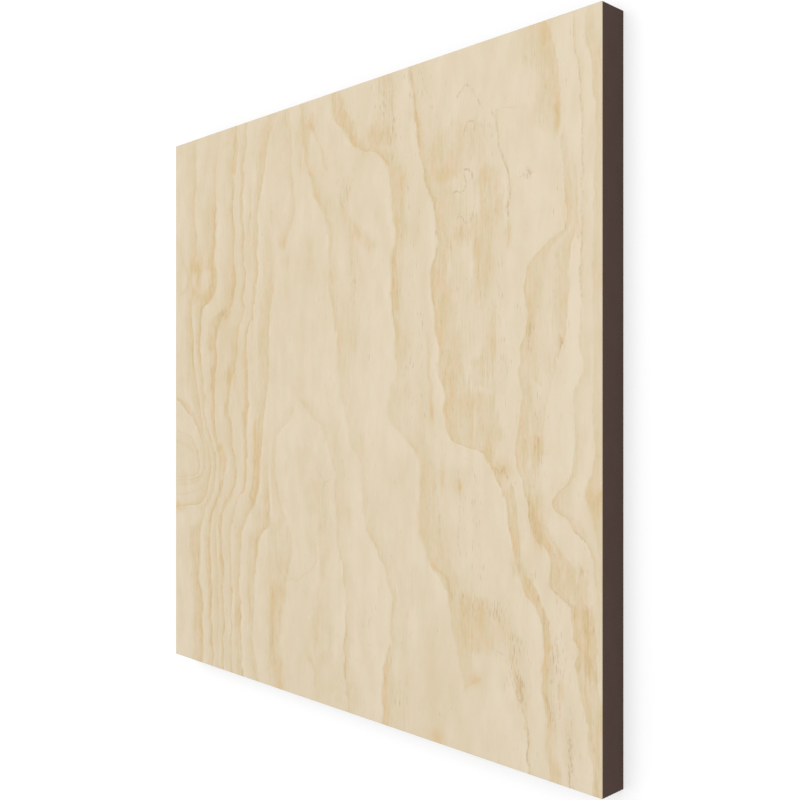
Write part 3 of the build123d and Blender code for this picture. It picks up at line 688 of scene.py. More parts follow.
# %% Patches near the right edge
tan_patches = {
    "field_head": (0.36, [
        (70, 12.6), (71.5, 11.6), (74, 10), (76.3, 9.8), (78.6, 10.4), (80.4, 11.6), (80.6, 14.4),
        (79.4, 16.4), (76.8, 16.8), (75.8, 18.2), (74, 18.6), (72.6, 18.6), (71.4, 18.4), (70.4, 17.6),
        (69.8, 16), (69.6, 14)]),
    "field_side": (0.7, [
        (71, 31), (72, 29.6), (72.6, 28), (73, 26), (74.1, 26.4), (74.3, 28), (73.6, 30), (73.2, 31.6),
        (72.6, 33.2), (71, 33.6), (70.6, 32.4)]),
    "field_head_right": (0.56, [
        (79.7, 15), (81.5, 17.5), (83, 18.6), (83.6, 21), (84, 25), (82.5, 26), (81.6, 28), (82, 33),
        (82.3, 37), (82.4, 41), (82.2, 45), (80.5, 46), (79.8, 44), (80.6, 41), (80.2, 37), (79.6, 34),
        (78.2, 35), (78.6, 31), (78.4, 28), (75.5, 26.9), (74, 26.5), (75, 25.5), (78.5, 25.3),
        (79.6, 23), (79.6, 19)]),
    "field_foot": (0.24, [
        (70.4, 34), (71.8, 34.4), (73.4, 33.8), (73.6, 36), (74, 39.5), (76.3, 40), (76.2, 44),
        (76.5, 47), (78, 48.6), (78.2, 52), (78.6, 55), (78, 56.2), (76, 56.6), (74.5, 56),
        (73.3, 54.2), (72.6, 52.5), (73.1, 49), (72.3, 46.5), (72.2, 43), (71.4, 41), (71.1, 38.5),
        (71.3, 36.8)]),
    "bay": (0.22, [
        (94.5, 28), (95.5, 28.2), (95.2, 30.5), (94.8, 33), (94.6, 36), (94.9, 38.5), (94.7, 40.5),
        (93.9, 42.4), (93, 43.5), (92.2, 45), (91.8, 46.5), (90.4, 46), (89.8, 48), (88, 47.5),
        (86.9, 47), (86.9, 43.6), (87.9, 42.2), (87.9, 40), (87.8, 36), (87.7, 34), (88.2, 32.6),
        (89.2, 31), (90.8, 29.6), (92.5, 28.6)]),
    "bay_stem": (0.22, [
        (86.9, 46), (89, 46.5), (89.6, 49), (90, 51.5), (90.4, 54.6), (88.4, 54.8), (87.6, 57),
        (86.4, 56.6), (86.3, 54), (86.7, 51)]),
    "foot_right_head": (0.38, [
        (91.5, 69.3), (93, 69.5), (94.5, 70), (95.5, 71), (96.5, 71.5), (97.4, 72.5), (97.8, 75),
        (97.8, 76.8), (95.9, 76.6), (94.5, 76), (92.8, 75), (91.6, 74.3), (91.7, 72.5), (92, 71)]),
    "foot_right": (1.1, [
        (96.2, 76.6), (97.8, 76), (98.6, 77), (98.8, 80), (98.7, 82.2), (99.4, 83.2), (99.7, 85),
        (98.8, 86.2), (97.6, 85.4), (96.8, 84.6), (97.3, 83), (97.2, 81.6), (96.6, 80.5), (96.2, 78)]),
    "foot_right_tail": (0.62, [
        (96.9, 85), (98.6, 84.4), (99.6, 86), (100.5, 89), (100.5, 102), (98.9, 102), (98.4, 96),
        (98.1, 92), (97.6, 90), (97.2, 87)]),
    "tongue": (0.58, [
        (73.6, 75), (74.8, 74.6), (75.2, 76), (75.4, 77), (77, 77.3), (79.5, 77.6), (80.8, 78),
        (80.7, 81), (81, 84), (80.4, 85.2), (79.2, 85.6), (78.4, 85.8), (76.6, 85.8), (75.8, 84.4),
        (75, 82), (74.4, 80), (74, 78.2), (73.2, 76.4)]),
    "tongue_side": (0.3, [
        (80.4, 77.8), (82, 78.2), (83.6, 79.4), (84.4, 81), (84.2, 83), (83.6, 84.6), (82.2, 85),
        (80.4, 85)]),
    "tongue_band": (0.55, [
        (84, 78.8), (85, 80.4), (86.3, 83.4), (87.1, 86.8), (87.9, 90.4), (86.9, 91), (86, 88.5),
        (85, 86), (83.8, 84.4), (82.6, 83.6), (83.4, 81)]),
    "tongue_tail": (0.22, [
        (76.3, 85), (78.6, 85.2), (78.6, 87), (79.7, 88.5), (79.4, 89.2), (78.2, 90.6), (77.2, 91),
        (76.5, 88)]),
    "head_corner": (0.32, [
        (86.8, -2), (91.4, -2), (92, 3), (93, 4.5), (93.4, 8), (93.5, 12), (93.3, 14.8), (92, 14.4),
        (90.5, 13.4), (90, 12), (91, 10.5), (90.8, 8), (90, 6), (88.5, 5.2), (87.4, 4.5), (86.8, 2.5)]),
    "nose": (0.06, [
        (92.2, 63.5), (92.6, 62.6), (93.6, 62), (94.5, 61), (95.2, 60), (95.7, 61.5), (95.6, 63.2),
        (95.5, 65), (96.3, 66.2), (97.6, 67.2), (98.3, 68.6), (97.5, 68.2), (96.3, 67), (95, 65.8),
        (94, 65), (92.8, 64.4)]),
    "edge_wedge": (0.65, [(98.4, 63), (98.9, 62), (100.5, 61), (100.5, 64.5), (99.6, 65), (98.8, 63.9)]),
    "third_line_bend": (0.62, [
        (84.2, 62.5), (85, 63), (85.3, 65.5), (86, 67), (86.5, 69), (86.5, 71), (87, 72.8), (88, 73.5),
        (88, 74.8), (87.2, 74), (85.8, 73.7), (85, 72.8), (84.9, 71), (85.1, 69), (84.6, 66.5),
        (84.3, 64.5)]),
    "third_line_foot": (0.48, [
        (88, 74), (88.4, 75.5), (90, 76.9), (91, 78.2), (91.6, 79.5), (91.6, 82), (91.3, 85),
        (91.4, 88), (91.6, 90.5), (91.8, 93), (91.9, 95.5), (92.5, 97), (93.3, 98), (93.4, 102),
        (92.1, 102), (91.5, 96), (91.4, 92.5), (91, 90), (90.9, 87.5), (91.1, 84.5), (90.6, 82),
        (90.5, 80), (90, 78.3), (88.8, 77), (87.4, 76.3), (86.9, 75.2)]),
    "short_line_field": (0.2, [
        (84.3, 79), (86, 81), (87, 82.5), (88, 85), (88.5, 87), (88, 90), (87.8, 92), (87.2, 92),
        (86.6, 90.5), (86, 88.5), (85.5, 87), (84.9, 84.5), (84.5, 82)]),
}
print(len(tan_patches), "tan patches near the right edge")

# %% Patches in the middle and on the left
tan_patches.update({
    "second_line_foot": (0.15, [
        (67.4, 57), (69, 57.3), (70, 58.5), (72.5, 60), (72.9, 62), (72.8, 64), (73, 67), (73.8, 68),
        (74, 71), (74, 74.8), (73, 75.5), (71.5, 74.8), (70, 74.3), (69.6, 72.5), (68.4, 71),
        (67.9, 69), (67.8, 66), (68.2, 63), (68.3, 60.5)]),
    "second_line_head": (0.24, [
        (61.5, 11.4), (62.8, 11), (63.8, 12.5), (65.2, 15), (65.2, 19), (65.3, 22), (65.3, 26),
        (64.3, 28), (63.5, 30), (63.7, 34), (63.7, 37), (63.6, 42), (63.8, 46), (63.6, 48), (63.1, 48),
        (63, 45), (62.8, 41), (62.3, 38.5), (61.9, 36), (61.9, 30), (62.1, 27), (62.6, 25), (62.4, 22),
        (62, 20), (61.8, 17), (61.2, 14.5), (60.6, 13.2)]),
    "second_line_waist": (0.16, [
        (62.4, 47.5), (64.2, 48), (66.5, 49), (68, 50), (69, 51), (69.5, 54), (68.5, 56.5),
        (67.5, 57.5), (66.2, 56.5), (64.5, 55.2), (63, 54), (61, 52.7), (61, 51), (61.8, 49.5)]),
    "second_line_start": (0.7, [
        (47.3, -2), (48.6, -2), (49.6, 1), (50.8, 3.2), (52, 4.4), (52.7, 6), (53.3, 8), (54.7, 10),
        (55.6, 11.1), (54.6, 10.9), (52.8, 9.4), (51, 7.4), (49.6, 5.6), (48.4, 3.4), (47.6, 1)]),
    "head_cloud": (0.45, [
        (56.3, 7.2), (58.5, 7.2), (60, 7.5), (62.3, 8.5), (62.9, 10.8), (61, 11), (59, 11),
        (57.2, 10.5), (56.4, 9.5)]),
    "first_line_start": (0.35, [
        (39, 3.2), (41, 3.2), (41.3, 5), (40.9, 8), (41.1, 10), (40.6, 9.5), (39.5, 7.5), (38.8, 5.5)]),
    "first_line_step": (0.15, [
        (42.3, 12.8), (43.5, 12.9), (44.5, 14.5), (45.3, 16.5), (46.2, 17.5), (46.7, 19.5), (46, 19.7),
        (45, 18.5), (44, 17.5), (43.2, 16.3)]),
    "first_line_slip": (0.25, [
        (46.8, 21), (47.7, 21), (47.9, 24.5), (47.6, 28), (47.9, 33), (47.3, 33), (46.8, 28),
        (46.9, 24)]),
    "first_line_belly": (0.22, [
        (48.5, 36.5), (49, 38.5), (49.7, 40), (50.6, 40), (51.5, 38.5), (53, 38), (54.3, 38.5),
        (54.8, 40), (55, 42.3), (53, 42.3), (51.5, 44), (51.6, 47.5), (50.2, 47.5), (49.4, 46),
        (49.4, 42.5)]),
    "first_line_foot": (0.35, [
        (60.5, 89), (61.6, 89), (61.7, 92), (61.5, 95), (61.8, 98), (61, 102), (59.8, 102), (60.2, 98),
        (60.2, 95), (60, 92), (60.3, 90.5)]),
    "head_diagonal": (0.38, [
        (50.5, 20), (52, 21), (53.5, 22), (55, 23.7), (57.5, 25), (58.3, 26), (56.5, 26.3), (54.5, 25),
        (53, 24.3), (52.5, 26), (52.6, 30), (51.9, 30), (51.9, 25.5), (51.3, 22.5), (50.3, 21)]),
    "tongue_tip": (0.2, [
        (36, 20), (37.8, 20), (37.6, 20.8), (36.3, 21.3), (35.9, 23), (35, 23.9), (33.8, 23.5),
        (32.5, 22.5), (34.5, 22)]),
    "arch_heart": (0.32, [
        (40.4, 64.5), (42.5, 63.2), (45, 63.5), (46.4, 64.5), (46.7, 68), (46.6, 72), (46.5, 76),
        (46, 78), (44.5, 78.5), (44.3, 75), (43.8, 72), (42.5, 70), (41, 68.8), (40.5, 67)]),
    "arch_foot": (0.28, [
        (43, 82), (45, 80), (46.2, 82), (46.5, 86), (47.4, 88), (47.4, 92), (46, 93), (44.5, 95.5),
        (43.5, 93.5), (42.8, 90), (43, 86)]),
    "arch_left_foot": (0.42, [
        (30.7, 83.3), (31.7, 82), (33.2, 81), (34.4, 82), (34.5, 84.5), (33.4, 85), (32.7, 86),
        (32.4, 88), (32.2, 92), (32.6, 96), (31, 97), (30.4, 95), (30.4, 93), (30.8, 90), (30.8, 87)]),
    "first_line_veil": (0.45, [
        (37.6, 4.4), (40.4, 3.6), (41, 8), (41.6, 12), (40.2, 12.6), (38.4, 10.4)]),
    "head_streaks": (0.5, [
        (58.4, -2), (62.4, -2), (62.3, 3), (61.9, 6.6), (60.3, 7), (59.2, 3)]),
    "field_right_foot": (0.75, [
        (77.8, 44.8), (80, 43.6), (82.3, 45), (82.6, 48), (80.6, 48.8), (77.8, 48)]),
    "fourth_line_band": (1, [
        (88.5, 54.6), (90.2, 54.4), (90.6, 57), (89.8, 59.5), (89.4, 61.5), (89.6, 64), (90.5, 66.6),
        (91.4, 68.9), (90.8, 69.6), (89.4, 68.8), (88.6, 66.6), (88.2, 63.6), (88, 61), (88.6, 58.4)]),
    "field_low_right": (0.6, [
        (78.6, 48.6), (80.6, 48.4), (82.2, 49.4), (82.8, 52), (83.8, 55.2), (82.4, 56.6), (81.4, 58),
        (80.2, 57), (79.2, 56.4), (78.8, 52)]),
    "head_corner_side": (0.25, [
        (87, 10.5), (90, 10), (92, 10), (93.3, 12), (93.3, 15), (91, 14.4), (88.5, 13)]),
    "arch_left_shade": (0.4, [
        (30.5, 71.5), (33.5, 70.5), (36, 72.6), (36.6, 75), (35.8, 77.5), (34.6, 80), (32.4, 80.6),
        (30.8, 79), (30, 75)]),
    "wide_line_corner": (0.25, [
        (28.5, 4.5), (31, 2.5), (34, 1.2), (36.5, 0.5), (36.5, 2.5), (33, 4), (30.5, 5.5), (29, 7)]),
    "arch_left_knee": (0.14, [
        (33.3, 73.5), (36, 73.3), (37, 74), (36.9, 75.5), (36, 77), (35.5, 78.7), (34.5, 80),
        (33.2, 79.8), (32.8, 77)]),
    "curl_stroke": (1, [
        (5.9, 23.6), (7.2, 23.6), (8.6, 24.5), (9, 25.6), (8.9, 27), (8.9, 29.2), (7.6, 29.6),
        (7.7, 27), (7.6, 26), (6.8, 25.7), (6.1, 24.8)]),
    "curl_side": (0.6, [
        (11.6, 23.6), (12.6, 23), (13.6, 24.4), (14, 26), (13.8, 28), (13, 29.4), (11.6, 29),
        (11.3, 27), (11.3, 25)]),
    "inner_line_ebb": (0.75, [
        (20.6, 83.4), (21.4, 83.6), (21.9, 87.6), (21.8, 91.4), (20, 91.2), (19.7, 88.6), (20.2, 86)]),
    "inner_line_end": (0.8, [
        (21, 94), (22, 94), (22.5, 97), (22.8, 102), (21, 102), (20.8, 97)]),
    "curl_knee": (0.38, [
        (12.4, 22), (13.3, 22), (13.9, 25), (13.9, 27.5), (13, 29.5), (11.5, 31), (9.8, 31.8),
        (9.5, 31), (11.4, 29.8), (12.6, 28), (12.8, 26), (12.3, 24)]),
    "curl_arc": (0.6, [
        (5.8, 29), (8, 28.6), (9.6, 29.3), (11.5, 29.2), (13.2, 29), (12.8, 30.6), (11.6, 31.7),
        (10, 31.8), (8.5, 30.8), (6.6, 31.4)]),
    "pin_knot_bend": (0.78, [
        (14.3, 36), (15, 34.5), (15.6, 33.6), (17, 33.3), (19, 33.6), (18.6, 35), (16.5, 35.3),
        (15.6, 36.3), (14.5, 37.2), (14.3, 39.5), (14.2, 43.5), (13.9, 46), (13.8, 50), (13.9, 53),
        (13.2, 53), (12.7, 50), (12.4, 47), (12.3, 44.5), (13.3, 43.5), (13.3, 41), (11.5, 40.3),
        (11.5, 38.8), (12.8, 38), (13, 36.5)]),
    "long_line_bend": (0.58, [
        (17.8, 44.3), (19.5, 43.7), (20, 42.5), (20.5, 40), (21.2, 40), (21.3, 42.5), (20.4, 44),
        (20.2, 46), (19.3, 48.5), (18.2, 50.5), (18.2, 53), (17.3, 53), (17, 51), (18, 48.5),
        (17.5, 46.5), (16.3, 45.7)]),
    "inner_line_bend": (0.32, [
        (26.3, 55), (27.5, 54.7), (28.4, 56), (28.3, 58.5), (27.8, 61), (27.5, 64), (27.3, 67),
        (26.3, 68.5), (25, 69.8), (24, 71), (23.3, 71.2), (23.6, 69.6), (24.7, 68.4), (25.8, 67),
        (26.3, 65), (25.7, 62), (25.7, 59), (26.3, 57)]),
    "curl_line_foot": (0.4, [
        (4.8, 74.5), (6.5, 74), (8.4, 74.3), (8.3, 76), (8.2, 79), (7.9, 82), (8, 85), (8.9, 86.5),
        (9.3, 88.5), (9.6, 91), (9.4, 95), (9.1, 102), (6, 102), (6.3, 95), (6.3, 91.5), (7.5, 90),
        (7.8, 87.5), (6.6, 84), (6.3, 81), (5.4, 80), (4.7, 78)]),
    "pin_knot_foot": (0.85, [
        (11.3, 76), (12.2, 76), (12.2, 79), (12.3, 83), (12.9, 86), (12.9, 88), (12.8, 92), (12.9, 96),
        (11.9, 96), (12, 92), (11.9, 88.5), (11.2, 85), (11, 81), (11, 78)]),
    "wide_line_head": (0.24, [
        (26.6, 8), (27.6, 6), (28.8, 5), (31, 4.6), (33, 3), (34, 1.8), (34.6, 3.2), (32.5, 5.2),
        (30.4, 6), (29.4, 7.6), (29, 10), (28.6, 12), (28, 14), (27.2, 17), (27.2, 21), (26.6, 24),
        (25, 24.4), (25.2, 20), (26, 14), (26.8, 11)]),
    "inner_line_head": (0.22, [
        (28, 36), (29.4, 34), (31, 33), (31, 36), (30.8, 40), (30.6, 44), (30.4, 48.4), (28.4, 48.6),
        (27, 46), (27.4, 41)]),
})
print(len(tan_patches), "tan patches")

# %% Hair lines
hair_lines = [
    (0.8, [(75.4, 6.9), (75.8, 6.2), (76.4, 5.9), (77.2, 5.2), (77.9, 5.7), (78.4, 6.4), (79.2, 7.6),
           (79.6, 8.9)]),
    (0.7, [(76.8, 12), (76.9, 10.7), (77.8, 10.6), (78.5, 10.9), (78.7, 12)]),
    (0.9, [(74.2, 20.3), (75.2, 20.1), (75.9, 20.5), (76.6, 20.3), (77, 19.5), (76.9, 18), (76.9, 17.2),
           (77.9, 17.4), (78.5, 18.1), (78.3, 19)]),
    (0.7, [(75.3, 24.3), (75.9, 23.6), (76.4, 24.1), (76.9, 24.9), (77.5, 24.9), (78, 24.7),
           (78.2, 24)]),
    (0.35, [(75.9, 20.6), (75.7, 22), (75.9, 23.5)]),
    (0.35, [(78.5, 18.6), (78.7, 20.5), (78.5, 22.6), (78.2, 24)]),
    (0.5, [(81.9, 10.3), (82.6, 11), (83.1, 12.5), (83.1, 14), (83, 15.3), (83.5, 16)]),
    (0.8, [(83.6, 16.2), (84.3, 18), (84.8, 20.6)]),
    (1, [(84.8, 20.6), (85, 22), (85, 24.8)]),
    (0.35, [(82.6, 10.1), (83.9, 10), (84.6, 10.1), (86, 10.4)]),
    (0.7, [(56.3, 10.8), (57.2, 10.6), (58.2, 11.1), (59.4, 12), (60.5, 12.8), (61, 13.6)]),
    (0.8, [(67.2, 8.2), (67.6, 9.5), (67.9, 11), (68, 12)]),
    (0.5, [(69.6, 19.6), (70.3, 20.7), (70.9, 22), (71.2, 24), (71.4, 26)]),
    (0.6, [(70.7, 34.8), (71.1, 36)]),
    (0.6, [(96.6, 30.5), (96.6, 33), (96.7, 35), (96.8, 37)]),
    (0.7, [(88.5, 39.4), (88.4, 41), (88.4, 42.6)]),
    (1.0, [(93.5, 41.9), (93.9, 42.8)]),
    (0.8, [(82, 59.3), (82.8, 59.6), (83.2, 60.2)]),
    (0.9, [(84, 59.3), (84.3, 60.2), (84.6, 60.7)]),
    (0.8, [(87.6, 18.8), (87.6, 20)]),
    (0.8, [(88.1, 19.2), (88.1, 20.2)]),
    (0.7, [(87.1, 19.9), (88.6, 19.7)]),
    (0.9, [(88.2, 94.4), (88.3, 96.5), (88.3, 98.6)]),
    (0.9, [(86.8, 88), (86.9, 89.3), (87, 90.5)]),
    (0.9, [(86.3, 87.2), (86.4, 89.4)]),
    (0.8, [(87.3, 87.8), (87.4, 89.8)]),
    (1, [(95, 94.2), (95, 95.6), (95.2, 96.6), (95.2, 97.8)]),
    (1, [(94.8, 97), (95, 100)]),
    (0.9, [(95.5, 93.2), (95.4, 96)]),
    (0.6, [(91.6, 74.4), (92.8, 75.1), (94.3, 76), (95.6, 76.6)]),
    (0.7, [(96.3, 67), (97, 67.3), (97.4, 67.8)]),
    (0.6, [(88.2, 63.6), (88.4, 66.2), (89, 68.2), (90, 69.2)]),
    (0.7, [(91.3, 89), (91.4, 90.4), (92, 91.3)]),
    (0.5, [(0, 49.7), (1.8, 50.2), (3.2, 51.5), (5, 52.8), (6, 53)]),
    (0.6, [(25, 16), (25.1, 17.8)]),
    (0.6, [(31.3, 17), (31.3, 19.2)]),
    (0.6, [(42.1, 3.6), (42.7, 4.9)]),
    (0.5, [(50.1, 16.5), (49.9, 18.4), (50.4, 20)]),
    (0.6, [(51.5, 16.7), (51.7, 18)]),
    (0.6, [(59, 0.5), (59.1, 3)]),
    (0.6, [(60.2, 1), (60.3, 5)]),
    (0.5, [(61.2, 0.2), (61.3, 4.5)]),
    (0.5, [(62, 2), (62, 8)]),
    (0.6, [(59.6, 5.5), (59.7, 8)]),
    (0.5, [(60.9, 7), (61, 10)]),
    (0.5, [(65.8, 0), (66.5, 3.5), (67, 7), (67.3, 8.2)]),
    (0.5, [(68.6, 16), (69.3, 18.5), (69.8, 19.8)]),
    (0.45, [(71.7, 26), (71.3, 29), (70.4, 31.3), (70.4, 33.5), (70.7, 34.8)]),
    (0.5, [(95.6, 1), (96.1, 6), (96.5, 10), (96.8, 14), (97, 18), (96.8, 24), (96.6, 30.5)]),
    (0.5, [(75.6, 60), (75.7, 66), (75.9, 72)]),
    (0.4, [(71.6, 65), (71.7, 71)]),
    (0.5, [(82.5, 84.5), (84.3, 84.8), (85.2, 87), (86.2, 90), (87.4, 92.5), (88.2, 94.4)]),
    (0.7, [(92.9, 81), (92.9, 84)]),
    (0.6, [(93.4, 87), (93.5, 91)]),
    (0.6, [(92.5, 91), (92.6, 94)]),
    (0.5, [(44.6, 62.2), (45.3, 63), (46, 63.6), (46.6, 63.2)]),
    (0.5, [(25.6, 36), (25.6, 39)]),
    (0.4, [(34.4, 36), (34.5, 37.6)]),
    (0.4, [(32.2, 44), (32.3, 46)]),
]
print(len(hair_lines), "hair lines")

# %% Late wood strokes
late_strokes = [
    (0.75, 0.36, [(26.4, 54), (26.2, 58), (26.1, 62), (25.8, 65), (25, 67.4)]),
    (0.7, 0.36, [(27.7, 53), (27.4, 57), (27.2, 61), (27.1, 65), (26.5, 67.4), (25.3, 69.4)]),
    (0.8, 0.5, [(23.4, 43.6), (23.3, 48), (23.4, 52.6)]),
    (0.7, 0.36, [(23.4, 53), (23.5, 56), (23.3, 60), (23.2, 66)]),
    (0.65, 0.5, [(13.2, 44.6), (13.2, 49), (13.3, 53), (13.6, 56.6)]),
    (0.95, 0.42, [(16.1, 65.2), (15.4, 67.2), (14, 69.4), (12.9, 71), (12.3, 72.8)]),
    (0.75, 0.4, [(19.6, 67.2), (18.4, 68.7), (17.2, 69.8)]),
    (0.75, 0.38, [(15.5, 71.6), (15.6, 74), (15.8, 78), (16, 82)]),
    (0.4, 0.4, [(24.8, 79), (24.7, 84), (24.9, 89), (25.4, 93.5), (26.6, 96.6), (28, 100)]),
    (0.7, 0.35, [(31.8, 83), (31.5, 88), (31.8, 92.5), (32.2, 96)]),
    (0.25, 0.25, [(0, 66.6), (4, 66.4), (7.4, 65.8), (9.4, 64.6)]),
    (0.25, 0.25, [(0, 68.6), (4, 68.2), (8, 67.4), (10, 66.4)]),
    (0.3, 0.25, [(0.4, 58.2), (3.5, 58.6), (6, 60)]),
    (0.6, 0.4, [(40.3, 4.5), (40.8, 8), (41.6, 11), (42.6, 14), (43.6, 16.2), (45, 17.6), (46, 19.2)]),
    (0.4, 0.4, [(47.2, 21), (47.4, 23), (47.2, 25.4)]),
    (0.65, 0.5, [(47.2, 29.5), (47.3, 32), (47.8, 34.5)]),
    (0.4, 0.35, [(41.6, 3.6), (43.3, 5.5), (44.4, 8), (45.5, 10.5), (46.3, 12)]),
    (0.4, 0.35, [(50.2, 18.5), (51.5, 20.6), (53, 22.6), (54.6, 24.2)]),
    (0.7, 0.55, [(61.2, 89.6), (60.5, 92), (60.3, 95), (60.7, 97.6), (60.2, 100)]),
    (0.3, 0.25, [(35.6, 81), (37, 80.3), (38.4, 80.8), (40.2, 79.6), (42.2, 78.6), (43.6, 76.6),
                 (43.2, 74)]),
    (0.4, 0.3, [(41.6, 93.2), (42.6, 93.6), (43.6, 95.2), (43.6, 97.4)]),
    (0.75, 0.45, [(62.9, 22), (62.8, 25), (62.5, 27.5), (62.5, 30), (62.6, 33), (63, 36)]),
    (0.6, 0.3, [(65.8, 0), (66.5, 3.5), (67.1, 7), (67.7, 10), (68.1, 12.5)]),
    (0.75, 0.45, [(85.3, 62), (85.7, 65), (86, 68)]),
    (0.95, 0.6, [(88, 74.4), (89.7, 76.4), (90.9, 79), (91.3, 82.5)]),
    (0.75, 0.45, [(85.6, 66), (86, 68.5), (86.4, 71)]),
    (0.5, 0.5, [(96.8, 71.5), (96.9, 74), (97.2, 77)]),
    (0.6, 0.25, [(95.9, 76.6), (96.2, 80), (96.9, 82.2), (96.3, 84.3), (97, 87)]),
    (0.7, 0.36, [(91.1, 82.5), (91.1, 86), (91.3, 89.5), (91.6, 92.4)]),
    (0.2, 0.4, [(91.7, 92.4), (92, 97), (92.3, 100)]),
    (0.8, 0.5, [(50.1, 3.6), (51.7, 5), (52.2, 7), (52.8, 9)]),
    (0.8, 0.6, [(89.2, 65.5), (90.2, 67.8), (91.6, 69.4)]),
    (0.55, 0.5, [(87.2, 55.5), (87.6, 58), (88.4, 60.5)]),
    (0.6, 0.5, [(70.4, 74.2), (72, 75.4), (73.2, 77)]),
    (0.85, 0.6, [(20.4, 2.5), (20.4, 5), (20.3, 8)]),
    (0.55, 0.35, [(22.2, 9), (22.2, 13), (22.2, 17)]),
    (0.5, 0.5, [(5.6, 31), (5.4, 34), (5.3, 37)]),
    (0.28, 0.45, [(2.8, 23.2), (4, 24.6), (5, 26), (5, 27.4), (4, 28.6), (2, 29.2)]),
    (0.5, 0.4, [(16.4, 60), (16.6, 64)]),
    (0.25, 0.4, [(94, 16), (94.4, 20), (94.9, 23.5), (95.6, 26.5), (96.2, 29)]),
    (0.2, 0.3, [(95.1, 33), (94.7, 36), (94.5, 39), (93.9, 41.5), (93.4, 43)]),
    (0.5, 0.4, [(89.3, 44), (89.2, 47)]),
    (0.3, 0.4, [(88.9, 51), (89.3, 54), (89.5, 57)]),
    (0.45, 0.35, [(69.3, 41), (69.6, 45), (70, 49), (70.3, 52.6)]),
    (0.45, 0.5, [(74, 44), (74.3, 48), (74.6, 51)]),
    (0.4, 0.5, [(79.8, 14), (80.2, 18), (80.2, 22), (80, 26)]),
    (0.35, 0.5, [(79, 28), (79.3, 32), (79, 36)]),
    (0.5, 0.3, [(77.4, 90.4), (78.4, 89.6), (79.4, 89)]),
]
print(len(late_strokes), "late wood strokes")

# %% [markdown]
# ## From drawn lines to one field
# A growth line is a whole number of years, and between two lines lies a part of a year. So the drawing
# becomes one field, the ring count, that runs straight from each line to the next. It rises fast over a
# line's soft side and slowly over the pale wood. The paint can then ask one simple question at any point:
# how late in its year did this wood grow? A picture could hold the lines too, but it would blur close up.
# The field is smooth, so a coarse mesh carries it and the lines stay sharp.

# %% Sheet grid
columns = 400
rows = 240
arris_radius = 0.2 * MM
arris_steps = np.radians([0.0, 30.0, 60.0])


def spaced(low, high, count):
    """Places from low to high: close ones that round each end like a quarter circle, even ones between."""
    round_in = arris_radius * (1.0 - np.cos(arris_steps))
    middle = np.linspace(low + arris_radius, high - arris_radius, count - 2 * len(round_in))
    return np.concatenate([low + round_in, middle, (high - round_in)[::-1]])


sheet_x = spaced(sheet_low.x, sheet_high.x, columns)
sheet_y = spaced(sheet_low.y, sheet_high.y, rows)
across = 100.0 * (sheet_x - sheet_low.x) / panel_width
down = 100.0 * (sheet_high.y - sheet_y) / panel_length
print("grid", columns, "x", rows)

# %% Uneven growth
bends = [(0.3, 1, 6.0, 3.5), (0.28, 2, 2.5, 1.6)]  # each: percent, seed, cell across, cell down
spare_cells = 3  # more than fit on the sheet, so that its far edges lie inside the grid


def smooth_step(part):
    """Runs from 0 to 1 with level ends: three times the square less twice the cube."""
    return part * part * (3.0 - 2.0 * part)


def soft_noise(seed, cell_across, cell_down):
    """Smooth uneven field between -1 and 1: seeded heights on a coarse grid, joined by smooth steps."""
    cells = [int(100 / cell_down) + spare_cells, int(100 / cell_across) + spare_cells]
    heights = np.random.default_rng(seed).uniform(-1.0, 1.0, cells)
    row, row_part = np.divmod(down / cell_down, 1.0)
    column, column_part = np.divmod(across / cell_across, 1.0)
    row = row.astype(int)[:, None]
    column = column.astype(int)[None, :]
    row_part = smooth_step(row_part)[:, None]
    column_part = smooth_step(column_part)[None, :]
    upper = heights[row, column] * (1.0 - column_part) + heights[row, column + 1] * column_part
    lower = heights[row + 1, column] * (1.0 - column_part) + heights[row + 1, column + 1] * column_part
    return upper * (1.0 - row_part) + lower * row_part


bent_across = across[None, :]
for amount, seed, cell_across, cell_down in bends:
    bent_across = bent_across + amount * soft_noise(seed, cell_across, cell_down)
print("lines bent by up to", round(float(np.abs(bent_across - across).max()), 2), "percent")

# %% Widths of the lines
TAN_DEPTH, TAN_WIDTH, VEIL_DEPTH, VEIL_WIDTH = 1, 2, 3, 4
soft_reach = 0.7  # the most of the gap to the next line that a soft side may fill
shared_reach = 0.48  # the same where two soft sides face each other
tan_reach = 0.6  # the most of a soft side that the tan may fill
veil_share = 1.2  # least width of a soft side, as a share of the tan's width
past_share = 1.1  # width just past the line, as a share of the tan's width
past_reach = 0.35  # the most of a gap that the wood just past a line may fill
least_gap = 0.02  # percent, keeps lines that meet apart
least_width = 0.2  # percent
open_gap = 50.0  # percent, stands for the gap beyond the first and the last line


def read_tone(column):
    """One column of every line's tone table, followed down the rows."""
    tables = [[(row[0], row[column]) for row in drawn["tone"]] for drawn in growth_lines.values()]
    return np.array([follow(table, down) for table in tables])


